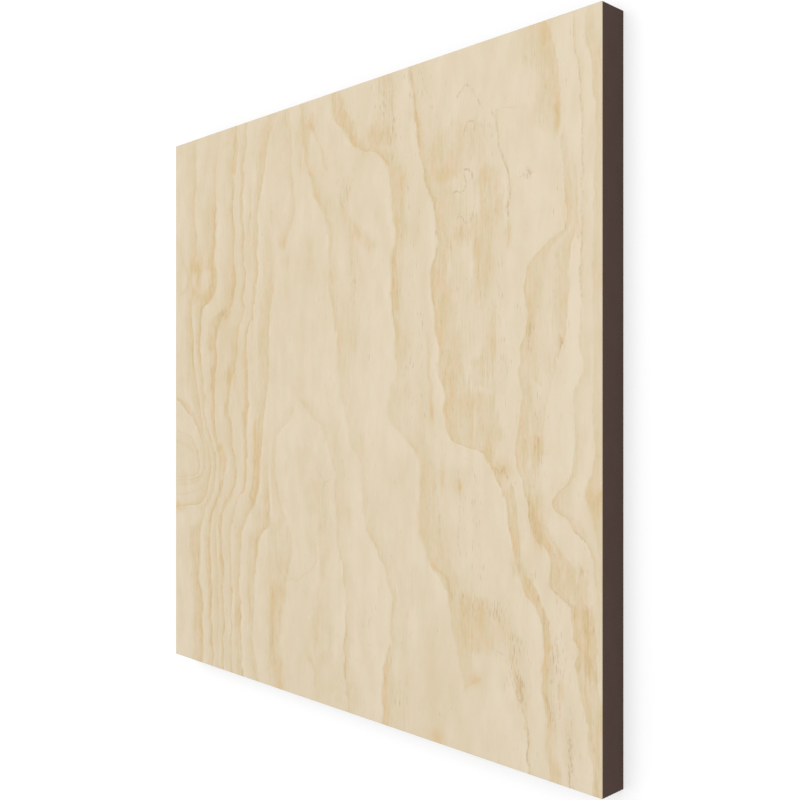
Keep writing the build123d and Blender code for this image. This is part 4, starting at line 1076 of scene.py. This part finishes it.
paths = np.array([follow(drawn["path"], down) for drawn in growth_lines.values()])
spread = least_gap * np.arange(len(paths))[:, None]
paths = np.maximum.accumulate(paths - spread, axis=0) + spread
sides = np.array([drawn["soft_side"] for drawn in growth_lines.values()])
soft_left = (sides == LEFT)[:, None]
beyond = np.full((1, rows), open_gap)
gap_left = np.concatenate([beyond, np.diff(paths, axis=0)])
gap_right = np.concatenate([np.diff(paths, axis=0), beyond])
soft_gap = np.where(soft_left, gap_left, gap_right)
hard_gap = np.where(soft_left, gap_right, gap_left)
facing = np.where(sides == LEFT, np.roll(sides, 1) == RIGHT, np.roll(sides, -1) == LEFT)
reach = np.where(facing, shared_reach, soft_reach)[:, None] * soft_gap
tan_width = np.minimum(np.maximum(read_tone(TAN_WIDTH), least_width), tan_reach * reach)
veil_width = np.minimum(np.maximum(read_tone(VEIL_WIDTH), veil_share * tan_width), reach)
past_width = np.minimum(past_share * tan_width, past_reach * hard_gap)
print("tan up to", round(float(tan_width.max()), 2), "percent wide")

# %% Ring count
tan_part = 0.4  # part of a year that shows as tan
veil_part = 0.7  # part of a year that the veil and the tan take together
past_part = 0.2  # part of a year that is over just past the line
fray = 0.7 * MM
most_fray = 0.16  # part of a year
depth_change = 0.35  # share by which the depth of a line comes and goes
tan_cells = (3, 2.5, 3.0)  # seed, cell across, cell down
veil_cells = (4, 3.0, 5.0)

# Two neighbours that are soft on the same side are a year apart. Two that face each other share a year.
turns = np.where(sides[1:] == sides[:-1], -sides[1:], 0)
years = np.concatenate([[0.0], np.cumsum(turns)])[:, None] + np.zeros((1, rows))

# Four places make one line, from soft to hard: the veil's start, the tan's start, the line, just past it.
steps_out = np.stack([-veil_width, -tan_width, np.zeros_like(tan_width), past_width])
steps_on = np.array([-veil_part, -tan_part, 0.0, past_part])[:, None, None]
places = np.where(soft_left, paths + steps_out, paths - steps_out[::-1])
counts = np.where(soft_left, years + steps_on, years + steps_on[::-1])
places = places.transpose(1, 0, 2).reshape(-1, rows)
counts = counts.transpose(1, 0, 2).reshape(-1, rows)


def loft(values):
    """Field over the sheet that runs straight from each place to the next in every row.

    It is the first value plus, for each pair of neighbours, their difference times the share of the gap
    between them that has been crossed.
    """
    field = np.repeat(values[0][:, None], columns, axis=1)
    for near, far, low, high in zip(places[:-1], places[1:], values[:-1], values[1:]):
        gap = np.maximum(far - near, least_gap)[:, None]
        share = np.clip((bent_across - near[:, None]) / gap, 0.0, 1.0)
        field = field + (high - low)[:, None] * share
    return field


def loft_lines(values):
    """The same for values of which each line has one, held over its four places."""
    return loft(np.repeat(values, len(steps_on), axis=0))


ring_count = loft(counts)
tan_depth = loft_lines(read_tone(TAN_DEPTH)) * (1.0 + depth_change * soft_noise(*tan_cells))
veil_depth = loft_lines(read_tone(VEIL_DEPTH)) * (1.0 + depth_change * soft_noise(*veil_cells))
tan_metres = np.maximum(tan_width, least_width) * panel_width / 100.0
line_fray = loft_lines(np.minimum(tan_part * fray / tan_metres, most_fray))
print("ring count from", round(ring_count.min(), 2), "to", round(ring_count.max(), 2))

# %% [markdown]
# ## Stains, patches and strokes as fields
# The other marks become fields as well. A stain is simply a bell curve, strongest in the middle. A patch or
# a stroke needs a sharp border, and a border stays sharp on a coarse mesh when the mesh carries the
# distance from it. The paint then draws the border where that distance passes zero, or a half width.

# %% Stain fields
stain_falloff = 0.7
shade_falloff = 0.5
plain_stain = 0.1  # depth from which a stain is plain to see


def ovals(spots, falloff):
    """One layer per soft oval: its depth times a bell curve of its squared distance in half widths."""
    middle, height, half_width, half_length, depth = np.array(spots, float).T[:, :, None, None]
    offset = ((across - middle) / half_width) ** 2 + ((down[:, None] - height) / half_length) ** 2
    return depth * np.exp(-falloff * offset)


# Of stains that overlap the deepest counts, and broad shades add up.
orange_field = ovals(orange_stains, stain_falloff).max(axis=0)
grey_field = ovals(grey_stains, stain_falloff).max(axis=0)
resin_field = ovals(resin_crowds, stain_falloff).max(axis=0)
broad_field = ovals(broad_shades, shade_falloff).sum(axis=0)
stained_part = np.maximum(orange_field, grey_field) > plain_stain
print("stained share", round(float(stained_part.mean()), 2))

# %% Patch fields
patch_limit = 1.6  # percent, how far from an outline its distance is kept
grid_down = down[:, None] + np.zeros((1, columns))


def to_segment(start, stop):
    """Distance of every grid point from a straight piece, in percent, and the side on which it lies."""
    run = stop[0] - start[0]
    fall = stop[1] - start[1]
    along_x = bent_across - start[0]
    along_y = grid_down - start[1]
    share = np.clip((along_x * run + along_y * fall) / (run * run + fall * fall), 0.0, 1.0)
    distance = np.hypot(along_x - share * run, along_y - share * fall)
    return distance, np.sign(run * along_y - fall * along_x)


def patch_fields(patches):
    """Distance inside the nearest tan patch, negative outside, and that patch's depth.

    A point is inside an outline when a straight way out to the right crosses it an odd number of times.
    """
    depth_field = np.zeros((rows, columns))
    inside_field = np.full((rows, columns), -patch_limit)
    for depth, outline in patches:
        nearest = np.full((rows, columns), patch_limit)
        inside = np.zeros((rows, columns), bool)
        for start, stop in zip(outline, outline[1:] + outline[:1]):
            nearest = np.minimum(nearest, to_segment(start, stop)[0])
            if start[1] != stop[1]:
                slant = (stop[0] - start[0]) / (stop[1] - start[1])
                beside = (start[1] > grid_down) != (stop[1] > grid_down)
                inside ^= beside & (bent_across < start[0] + (grid_down - start[1]) * slant)
        signed = np.where(inside, nearest, -nearest)
        depth_field = np.where(signed > inside_field, depth, depth_field)
        inside_field = np.maximum(inside_field, signed)
    return inside_field, depth_field


patch_inside, patch_depth = patch_fields(tan_patches.values())
print("patched share", round(float((patch_inside > 0.0).mean()), 2))

# %% Stroke and hair line fields
hair_unit = 1.0  # percent, so that a hair line's distances stay in percent
hair_reach = {"near": 0.35, "far": 0.7, "limit": 1.6}  # percent
stroke_reach = {"near": 1.6, "far": 2.6, "limit": 2.6}  # half widths


def line_fields(lines, near, far, limit):
    """Signed distance from the nearest line, in half widths of it and up to the limit, and its depth.

    The depth is whole up to the near distance and fades evenly to zero at the far one.
    """
    nearest = np.full((rows, columns), limit)
    offset = np.full((rows, columns), limit)
    depth_field = np.zeros((rows, columns))
    for depth, half_width, line in lines:
        for start, stop in zip(line[:-1], line[1:]):
            distance, side = to_segment(start, stop)
            widths = distance / half_width
            closer = widths < nearest
            offset = np.where(closer, side * widths, offset)
            depth_field = np.where(closer, depth, depth_field)
            nearest = np.minimum(nearest, widths)
    return offset, depth_field * np.clip((far - nearest) / (far - near), 0.0, 1.0)


hairs = [(depth, hair_unit, line) for depth, line in hair_lines]
hair_offset, hair_depth = line_fields(hairs, **hair_reach)
stroke_offset, stroke_depth = line_fields(late_strokes, **stroke_reach)
print("share near a stroke", round(float((stroke_depth > 0.0).mean()), 2))

# %% [markdown]
# ## The sheet itself
# The real sheet is taken to be half a millimetre of pine, with an upper arris that sanding has rounded. A
# plain box would do for its shape, but it has no points to carry the fields. So the face is a grid of points
# whose border rounds over, walls run down to the glue line and a fan of triangles closes the underside. That
# makes the piece one closed skin.

# %% Sheet mesh
def border_drop(x, y):
    """How far the sanded arris lies below the face: a quarter circle of its radius along every side."""
    from_side = np.minimum(x - sheet_low.x, sheet_high.x - x)[None, :]
    from_end = np.minimum(y - sheet_low.y, sheet_high.y - y)[:, None]
    into_side = np.clip(arris_radius - from_side, 0.0, None)
    into_end = np.clip(arris_radius - from_end, 0.0, None)
    return arris_radius - np.sqrt(np.clip(arris_radius**2 - into_side**2 - into_end**2, 0.0, None))


face_height = sheet_high.z - border_drop(sheet_x, sheet_y)
grid_x, grid_y = np.meshgrid(sheet_x, sheet_y)
face_points = np.column_stack([grid_x.ravel(), grid_y.ravel(), face_height.ravel()])

number = np.arange(rows * columns).reshape(rows, columns)
quad_corners = [number[:-1, :-1], number[:-1, 1:], number[1:, 1:], number[1:, :-1]]
face_quads = np.stack(quad_corners, axis=-1).reshape(-1, 4)
rim = np.concatenate([number[0, :-1], number[:-1, -1], number[-1, :0:-1], number[:0:-1, 0]])
foot_points = face_points[rim]
foot_points[:, 2] = sheet_low.z
foot = rows * columns + np.arange(len(rim))
wall_quads = np.stack([np.roll(rim, -1), rim, foot, np.roll(foot, -1)], axis=-1)
centre_point = [[0.0, 0.0, sheet_low.z]]
centre = np.full(len(rim), rows * columns + len(rim))
back_fan = np.stack([np.roll(foot, -1), foot, centre], axis=-1)

sheet_points = np.concatenate([face_points, foot_points, centre_point])
sheet_faces = face_quads.tolist() + wall_quads.tolist() + back_fan.tolist()
sheet_mesh = bpy.data.meshes.new("pine_sheet")
sheet_mesh.from_pydata(sheet_points.tolist(), [], sheet_faces)
smooth = np.zeros(len(sheet_mesh.polygons), bool)
smooth[: len(face_quads)] = True
sheet_mesh.polygons.foreach_set("use_smooth", smooth)
print("sheet mesh of", len(sheet_mesh.vertices), "points")

# %% Fields on the sheet
carried = {
    "ring_count": ring_count,
    "tan_depth": tan_depth,
    "veil_depth": veil_depth,
    "line_fray": line_fray,
    "orange_stain": orange_field,
    "grey_stain": grey_field,
    "resin_crowd": resin_field,
    "broad_shade": broad_field,
    "patch_inside": patch_inside,
    "patch_depth": patch_depth,
    "hair_offset": hair_offset,
    "hair_depth": hair_depth,
    "stroke_offset": stroke_offset,
    "stroke_depth": stroke_depth,
}
# The walls repeat the rim's values, and the middle of the back has zero.
for name, field in carried.items():
    values = np.concatenate([field.ravel(), field.ravel()[rim], [0.0]]).astype(np.float32)
    sheet_mesh.attributes.new(name, "FLOAT", "POINT").data.foreach_set("value", values)
print(len(carried), "fields on the sheet")

# %% Sheet in its place
pine_sheet = bpy.data.objects.new("pine_sheet", sheet_mesh)
scene.collection.objects.link(pine_sheet)
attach(pine_sheet, "root")
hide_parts("face_veneer")
triangles = len(face_quads) * 2 + len(wall_quads) * 2 + len(back_fan)
print("pine sheet", len(sheet_mesh.vertices), "points", triangles, "triangles")

# %% [markdown]
# ## A group for fibres
# Both materials are made of wood fibres: long and straight in the pine, short and felted in the board. One
# node group makes both. It squeezes a noise across the fibres and stretches it along them, so a fibre's
# width and length are all it has to be told. A picture of wood would do as well, but it would show its
# edges, and the noise has none.

# %% Fibre group
def make_fibre_group():
    """Noise stretched along Y: each coordinate is divided by the fibre's width or length, then shifted.

    Half is taken off at the end, so that the noise lies about zero.
    """
    group = bpy.data.node_groups.new("wood_fibres", "ShaderNodeTree")
    sockets = {"Place": "Vector", "Width": "Float", "Length": "Float", "Detail": "Float", "Shift": "Float"}
    for name, kind in sockets.items():
        group.interface.new_socket(name, in_out="INPUT", socket_type="NodeSocket" + kind)
    group.interface.new_socket("Fibre", in_out="OUTPUT", socket_type="NodeSocketFloat")
    entry = group.nodes.new("NodeGroupInput").outputs
    leave = group.nodes.new("NodeGroupOutput")
    size = add_node(group, "CombineXYZ", {0: entry["Width"], 1: entry["Length"], 2: entry["Width"]})
    squeezed = add_node(group, "VectorMath", {0: entry["Place"], 1: size.outputs[0]}, operation="DIVIDE")
    moved = add_node(group, "VectorMath", {0: squeezed.outputs[0], 1: entry["Shift"]}, operation="ADD")
    spot = {"Vector": moved.outputs[0], "Scale": 1.0, "Detail": entry["Detail"]}
    noise = add_node(group, "TexNoise", spot).outputs["Fac"]
    group.links.new(calculate(group, "SUBTRACT", noise, 0.5), leave.inputs["Fibre"])
    return group


fibre_group = make_fibre_group()
usual_swing = 0.2  # most of a noise lies this close to zero


def fibre_noises(tree, table):
    """Places the fibre group once for each row of a table. Widths and lengths are in millimetres."""
    place = add_node(tree, "TexCoord").outputs["Object"]
    noises = {}
    for name, (width, length, detail, shift) in table.items():
        size = {"Width": width * MM, "Length": length * MM, "Detail": detail, "Shift": shift}
        made = add_node(tree, "Group", {"Place": place, **size}, node_tree=fibre_group)
        noises[name] = made.outputs["Fibre"]
    return noises


def vary(tree, noise, low, high):
    """A share that goes from low to high with a noise."""
    return rescale(tree, noise, -usual_swing, usual_swing, low, high)


def frayed(tree, value, noises, amounts):
    """A distance plus some of the noises, so that a border drawn from it frays along the grain."""
    return add_up(tree, value, *[times(tree, noises[name], amount) for name, amount in amounts.items()])


print("fibre group ready")

# %% [markdown]
# ## Pine: the fibres
# Peeled pine is never even. Fibres, resin and the knife leave marks of many lengths, from specks of a few
# millimetres to clouds of a few centimetres. Each is the fibre group with a width and a length of its own,
# and one table keeps them together, so that they are easy to compare and to change.

# %% Pine fibres
pine_fibres = {  # each: width and length in millimetres, detail, shift
    "fine": (0.8, 9, 3, 0),
    "wobble": (2.2, 6, 2, 3),
    "comb": (1.2, 22, 3, 7),
    "blotches": (3, 12, 4, 9),
    "grain": (1.3, 18, 4, 31),
    "coarse_grain": (4, 14, 3, 37),
    "stroke_grain": (2, 10, 3, 47),
    "clouds": (9, 26, 3, 5),
    "mottle": (1.8, 4.5, 4, 17),
    "streaks": (0.7, 26, 4, 13),
    "dashes": (0.8, 6, 1, 21),
    "hair_breaks": (1.1, 2.4, 2, 57),
    "fine_orange": (1.6, 14, 2, 27),
    "broad_orange": (6, 30, 2, 53),
    "fine_tint": (1.5, 9, 2, 43),
    "broad_tint": (8, 16, 3, 41),
}
print(len(pine_fibres), "kinds of fibre noise")

# %% [markdown]
# ## Pine: the growth lines
# The paint drops the whole years of the ring count, and what is left runs from pale early wood through a
# grey veil to tan late wood. A little fibre noise goes into the count first, so that the lines fray along
# the grain as real ones do. Just past a line the new year's first wood is paler than the rest.

# %% Pine growth lines
sway_gain = 3.0
most_sway = 0.12  # part of a year
comb_gain = 1.3
line_tail = 0.045  # part of a year over which a line fades on its hard side
dark_share = 0.3  # last share of the tan, where it is darkest
early_rise = (line_tail, 0.08)  # parts of a year
early_fall = (0.1, 0.28)  # parts of a year
tan_weight = 0.66
dark_weight = 0.55


def paint_lines(tree, read, noises):
    """Late wood, veil and pale early wood of the growth lines.

    The tan is a smooth step over the last part of a year, and the veil is one before it. Both go straight
    back to nothing over the tail. The darkest wood adds a straight rise at the very end.
    """
    sway = times(tree, add_up(tree, noises["fine"], noises["wobble"]), read["line_fray"], sway_gain)
    sway = rescale(tree, sway, -most_sway, most_sway, -most_sway, most_sway)
    part = calculate(tree, "FRACT", calculate(tree, "ADD", read["ring_count"], sway))
    until = calculate(tree, "SUBTRACT", 1.0, part)
    combed = calculate(tree, "ADD", part, times(tree, noises["comb"], until, comb_gain))
    tail = rescale(tree, part, 0.0, line_tail, 1.0, 0.0)
    tan = rescale(tree, combed, 1.0 - tan_part, 1.0, curve="SMOOTHSTEP")
    dark = rescale(tree, part, 1.0 - dark_share * tan_part, 1.0)
    veil = rescale(tree, combed, 1.0 - veil_part, 1.0 - tan_part, curve="SMOOTHSTEP")
    tan = times(tree, larger(tree, tan, tail), tan_weight)
    dark = times(tree, larger(tree, dark, tail), dark_weight)
    late = times(tree, add_up(tree, tan, dark), read["tan_depth"])
    veil = times(tree, larger(tree, veil, tail), read["veil_depth"])
    early = times(tree, rescale(tree, part, *early_rise), rescale(tree, part, *early_fall, 1.0, 0.0))
    return late, veil, times(tree, early, read["tan_depth"])


print("growth lines fray by up to", most_sway, "of a year")

# %% [markdown]
# ## Pine: patches and strokes
# A patch of late wood has a border that is torn along the grain, and inside it the tan is streaky. A stroke
# is narrower and evener, and darkest near its rim. Both are drawn from the carried distances, with fibre
# noise added to them before the border is cut.

# %% Pine patches and strokes
patch_fray = {"comb": 2.4, "wobble": 1.6, "fine": 0.8}  # percent
patch_rim = 0.6  # percent, half the width over which a patch fades
patch_change = (0.25, 1.55)
coarse_weight = 0.8
stroke_fray = {"fine": 0.9, "wobble": 0.6}  # half widths
stroke_border = (0.6, 1.1)  # half widths
stroke_change = (0.6, 1.35)
stroke_weight = 0.85
rim_rise = (0.35, 0.85)  # half widths
rim_fall = (0.85, 1.15)  # half widths
rim_weight = 0.55


def paint_patches(tree, read, noises):
    """Tan patches: a smooth step across the frayed outline times the patch's depth and a streaky grain."""
    inside = frayed(tree, read["patch_inside"], noises, patch_fray)
    shape = rescale(tree, inside, -patch_rim, patch_rim, curve="SMOOTHSTEP")
    grain = add_up(tree, noises["grain"], times(tree, noises["coarse_grain"], coarse_weight))
    return times(tree, shape, read["patch_depth"], vary(tree, grain, *patch_change))


def paint_strokes(tree, read, noises):
    """Late wood strokes: a level band with soft borders plus a narrow rim, times the stroke's depth."""
    off = calculate(tree, "ABSOLUTE", frayed(tree, read["stroke_offset"], noises, stroke_fray))
    band = rescale(tree, off, *stroke_border, 1.0, 0.0, curve="SMOOTHSTEP")
    dark_rim = times(tree, rescale(tree, off, *rim_rise), rescale(tree, off, *rim_fall, 1.0, 0.0))
    body = add_up(tree, times(tree, band, stroke_weight), times(tree, dark_rim, rim_weight))
    return times(tree, body, read["stroke_depth"], vary(tree, noises["stroke_grain"], *stroke_change))


print("patches fade over", 2 * patch_rim, "percent")

# %% [markdown]
# ## Pine: resin
# Resin shows as short brown dashes along the grain and as hair lines in old cracks. The dashes appear where
# a noise of short fibres is high, so raising the noise a little in a crowd, or in late wood, makes more of
# them. The hair lines are drawn, and a noise breaks them up.

# %% Pine resin
busy_crowd = 0.16
crowd_gain = 0.19
dash_start = (0.2, 0.35)
most_dash = 0.44
hair_fray = {"fine": 0.25}  # percent
hair_width = 0.24  # percent
break_start = (-0.09, 0.11)
break_share = (0.03, 0.6)


def paint_resin(tree, read, noises, busy):
    """Share of resin brown: the dashes, a straight rise of their noise, or the hair lines if larger."""
    crowd = times(tree, add_up(tree, read["resin_crowd"], times(tree, busy, busy_crowd)), crowd_gain)
    dashes = rescale(tree, add_up(tree, noises["dashes"], crowd), *dash_start, 0.0, most_dash)
    off = calculate(tree, "ABSOLUTE", frayed(tree, read["hair_offset"], noises, hair_fray))
    hair = times(tree, rescale(tree, off, 0.0, hair_width, 1.0, 0.0), read["hair_depth"])
    breaks = rescale(tree, noises["hair_breaks"], *break_start, *break_share)
    return larger(tree, dashes, times(tree, hair, breaks))


print("hair lines", hair_width, "percent wide to each side")

# %% [markdown]
# ## Pine: tone and colour
# All layers add up to one tone, and a ramp of five wood colours turns the tone into a colour. Two colours
# would be too plain, because pine grows more orange as it grows darker. A weak tint that wanders between
# olive and pink, some orange in the late wood and the brown of the resin go on top.

# %% Pine tone
base_tone = 0.205
tan_tone = 0.42
veil_tone = 0.38
early_tone = 0.13
cloud_tone = 0.58
mottle_tone = (0.7, 0.1)  # more of it in busy wood, and some anywhere
streak_tone = (0.55, 0.03)  # the same


def mix_tone(tree, read, noises, tan, veil, early, busy):
    """Place on the ramp: a base plus every layer times its weight, less the pale early wood."""
    clouds = times(tree, noises["clouds"], cloud_tone)
    mottle = times(tree, noises["mottle"], calculate(tree, "MULTIPLY_ADD", busy, *mottle_tone))
    streaks = times(tree, noises["streaks"], calculate(tree, "MULTIPLY_ADD", busy, *streak_tone))
    marks = add_up(tree, times(tree, tan, tan_tone), times(tree, veil, veil_tone))
    tone = add_up(tree, marks, clouds, mottle, streaks, read["broad_shade"], base_tone)
    return calculate(tree, "SUBTRACT", tone, times(tree, early, early_tone))


print("base tone", base_tone)

# %% Pine colour
wood_tones = [
    (0.0, (0.786, 0.680, 0.518, 1.0)),
    (0.25, (0.745, 0.631, 0.461, 1.0)),
    (0.5, (0.713, 0.586, 0.397, 1.0)),
    (0.75, (0.693, 0.546, 0.337, 1.0)),
    (1.0, (0.637, 0.493, 0.286, 1.0)),
]
orange_wood = (0.722, 0.520, 0.280, 1.0)
resin_wood = (0.460, 0.300, 0.150, 1.0)
olive_tint = (0.968, 0.998, 0.966, 1.0)
pink_tint = (1.028, 0.998, 1.016, 1.0)
fine_orange = (-0.05, 0.2, 0.0, 0.35)  # from noise to share, as the two ends of each
broad_orange = (-0.08, 0.14, 0.0, 0.5)
stain_orange = 0.7
broad_tint = 0.6
tint_swing = (2.0, 1.2)  # more of it in busy wood, and some anywhere
tint_middle = 0.5


def ramp_colour(tree, tone):
    """Wood colour at a tone, straight from each of the wood tones to the next."""
    ramp = add_node(tree, "ValToRGB", {"Fac": tone})
    stops = ramp.color_ramp.elements
    for _ in wood_tones[2:]:
        stops.new(0.5)
    for stop, (position, colour) in zip(stops, wood_tones):
        stop.position = position
        stop.color = colour
    return ramp.outputs["Color"]


def tint_colour(tree, noises, busy):
    """Tint between olive and pink: the sum of a broad and a fine noise, with more swing in busy wood."""
    turn = add_up(tree, times(tree, noises["broad_tint"], broad_tint), noises["fine_tint"])
    swing = calculate(tree, "MULTIPLY_ADD", busy, *tint_swing)
    turn = calculate(tree, "MULTIPLY_ADD", turn, swing, tint_middle)
    return blend_colours(tree, rescale(tree, turn, 0.0, 1.0), olive_tint, pink_tint)


def orange_share(tree, noises, late, stained):
    """Share of orange: a fine and a broad noise in the late wood, plus the orange stains."""
    fine = rescale(tree, noises["fine_orange"], *fine_orange)
    broad = rescale(tree, noises["broad_orange"], *broad_orange)
    in_late = times(tree, add_up(tree, fine, broad), late)
    return add_up(tree, in_late, times(tree, stained, stain_orange))


print(len(wood_tones), "wood tones")

# %% Pine material
blotch_change = (0.45, 1.45)
pine_roughness = (0.58, 0.72)
pine_bump = (0.2, 0.05 * MM)  # strength, depth
pine_shine = 0.25


def make_pine():
    """Pale peeled pine: the sheet's own fields and the fibre noises, mixed layer by layer."""
    material, tree, output = start_material("peeled_pine")
    read = {name: add_node(tree, "Attribute", attribute_name=name).outputs["Fac"] for name in carried}
    noises = fibre_noises(tree, pine_fibres)
    blotches = vary(tree, noises["blotches"], *blotch_change)
    late, veil, early = paint_lines(tree, read, noises)
    late = larger(tree, times(tree, late, blotches), paint_strokes(tree, read, noises))
    stained = times(tree, read["orange_stain"], blotches)
    tan = add_up(tree, larger(tree, late, paint_patches(tree, read, noises)), stained)
    veil = add_up(tree, veil, read["grey_stain"])
    busy = add_up(tree, tan, veil)

    colour = ramp_colour(tree, mix_tone(tree, read, noises, tan, veil, early, busy))
    colour = blend_colours(tree, 1.0, colour, tint_colour(tree, noises, busy), "MULTIPLY")
    colour = blend_colours(tree, orange_share(tree, noises, late, stained), colour, orange_wood)
    colour = blend_colours(tree, paint_resin(tree, read, noises, busy), colour, resin_wood)
    roughness = vary(tree, noises["fine"], *pine_roughness)
    coat(tree, output, colour, roughness, noises["fine"], *pine_bump, pine_shine)
    return material


sheet_mesh.materials.append(make_pine())
print("pine painted")

# %% [markdown]
# ## Brown fibreboard
# Fibreboard is wood ground to fibres, here dyed brown, felted and pressed. A sawn edge shows no grain, only
# a fine mottle of short fibres, a little paler where the saw has torn them. The solid's own shape is right,
# so it stays, and only gets this finish from the same fibre group.

# %% Fibreboard material
board_fibres = {"flecks": (0.5, 1.1, 3, 0), "mottle": (9, 14, 3, 4)}  # as for the pine
board_brown = (0.096, 0.0592, 0.0488, 1.0)
board_pale = (0.116, 0.0727, 0.0611, 1.0)
fleck_weight = 0.7
pale_start = (-0.15, 0.15)
board_roughness = (0.75, 0.9)
board_bump = (0.3, 0.1 * MM)  # strength, depth
board_shine = 0.15


def make_fibreboard():
    """Dark brown felted fibres: short flecks on a soft mottle, weighed to a sum of one."""
    material, tree, output = start_material("brown_fibreboard")
    noises = fibre_noises(tree, board_fibres)
    flecks = times(tree, noises["flecks"], fleck_weight)
    mottle = times(tree, noises["mottle"], 1.0 - fleck_weight)
    pale = rescale(tree, add_up(tree, flecks, mottle), *pale_start)
    colour = blend_colours(tree, pale, board_brown, board_pale)
    roughness = vary(tree, noises["flecks"], *board_roughness)
    coat(tree, output, colour, roughness, noises["flecks"], *board_bump, board_shine)
    return material


core_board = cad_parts["core_board"]
core_board.data.materials.clear()
core_board.data.materials.append(make_fibreboard())
print("core painted")
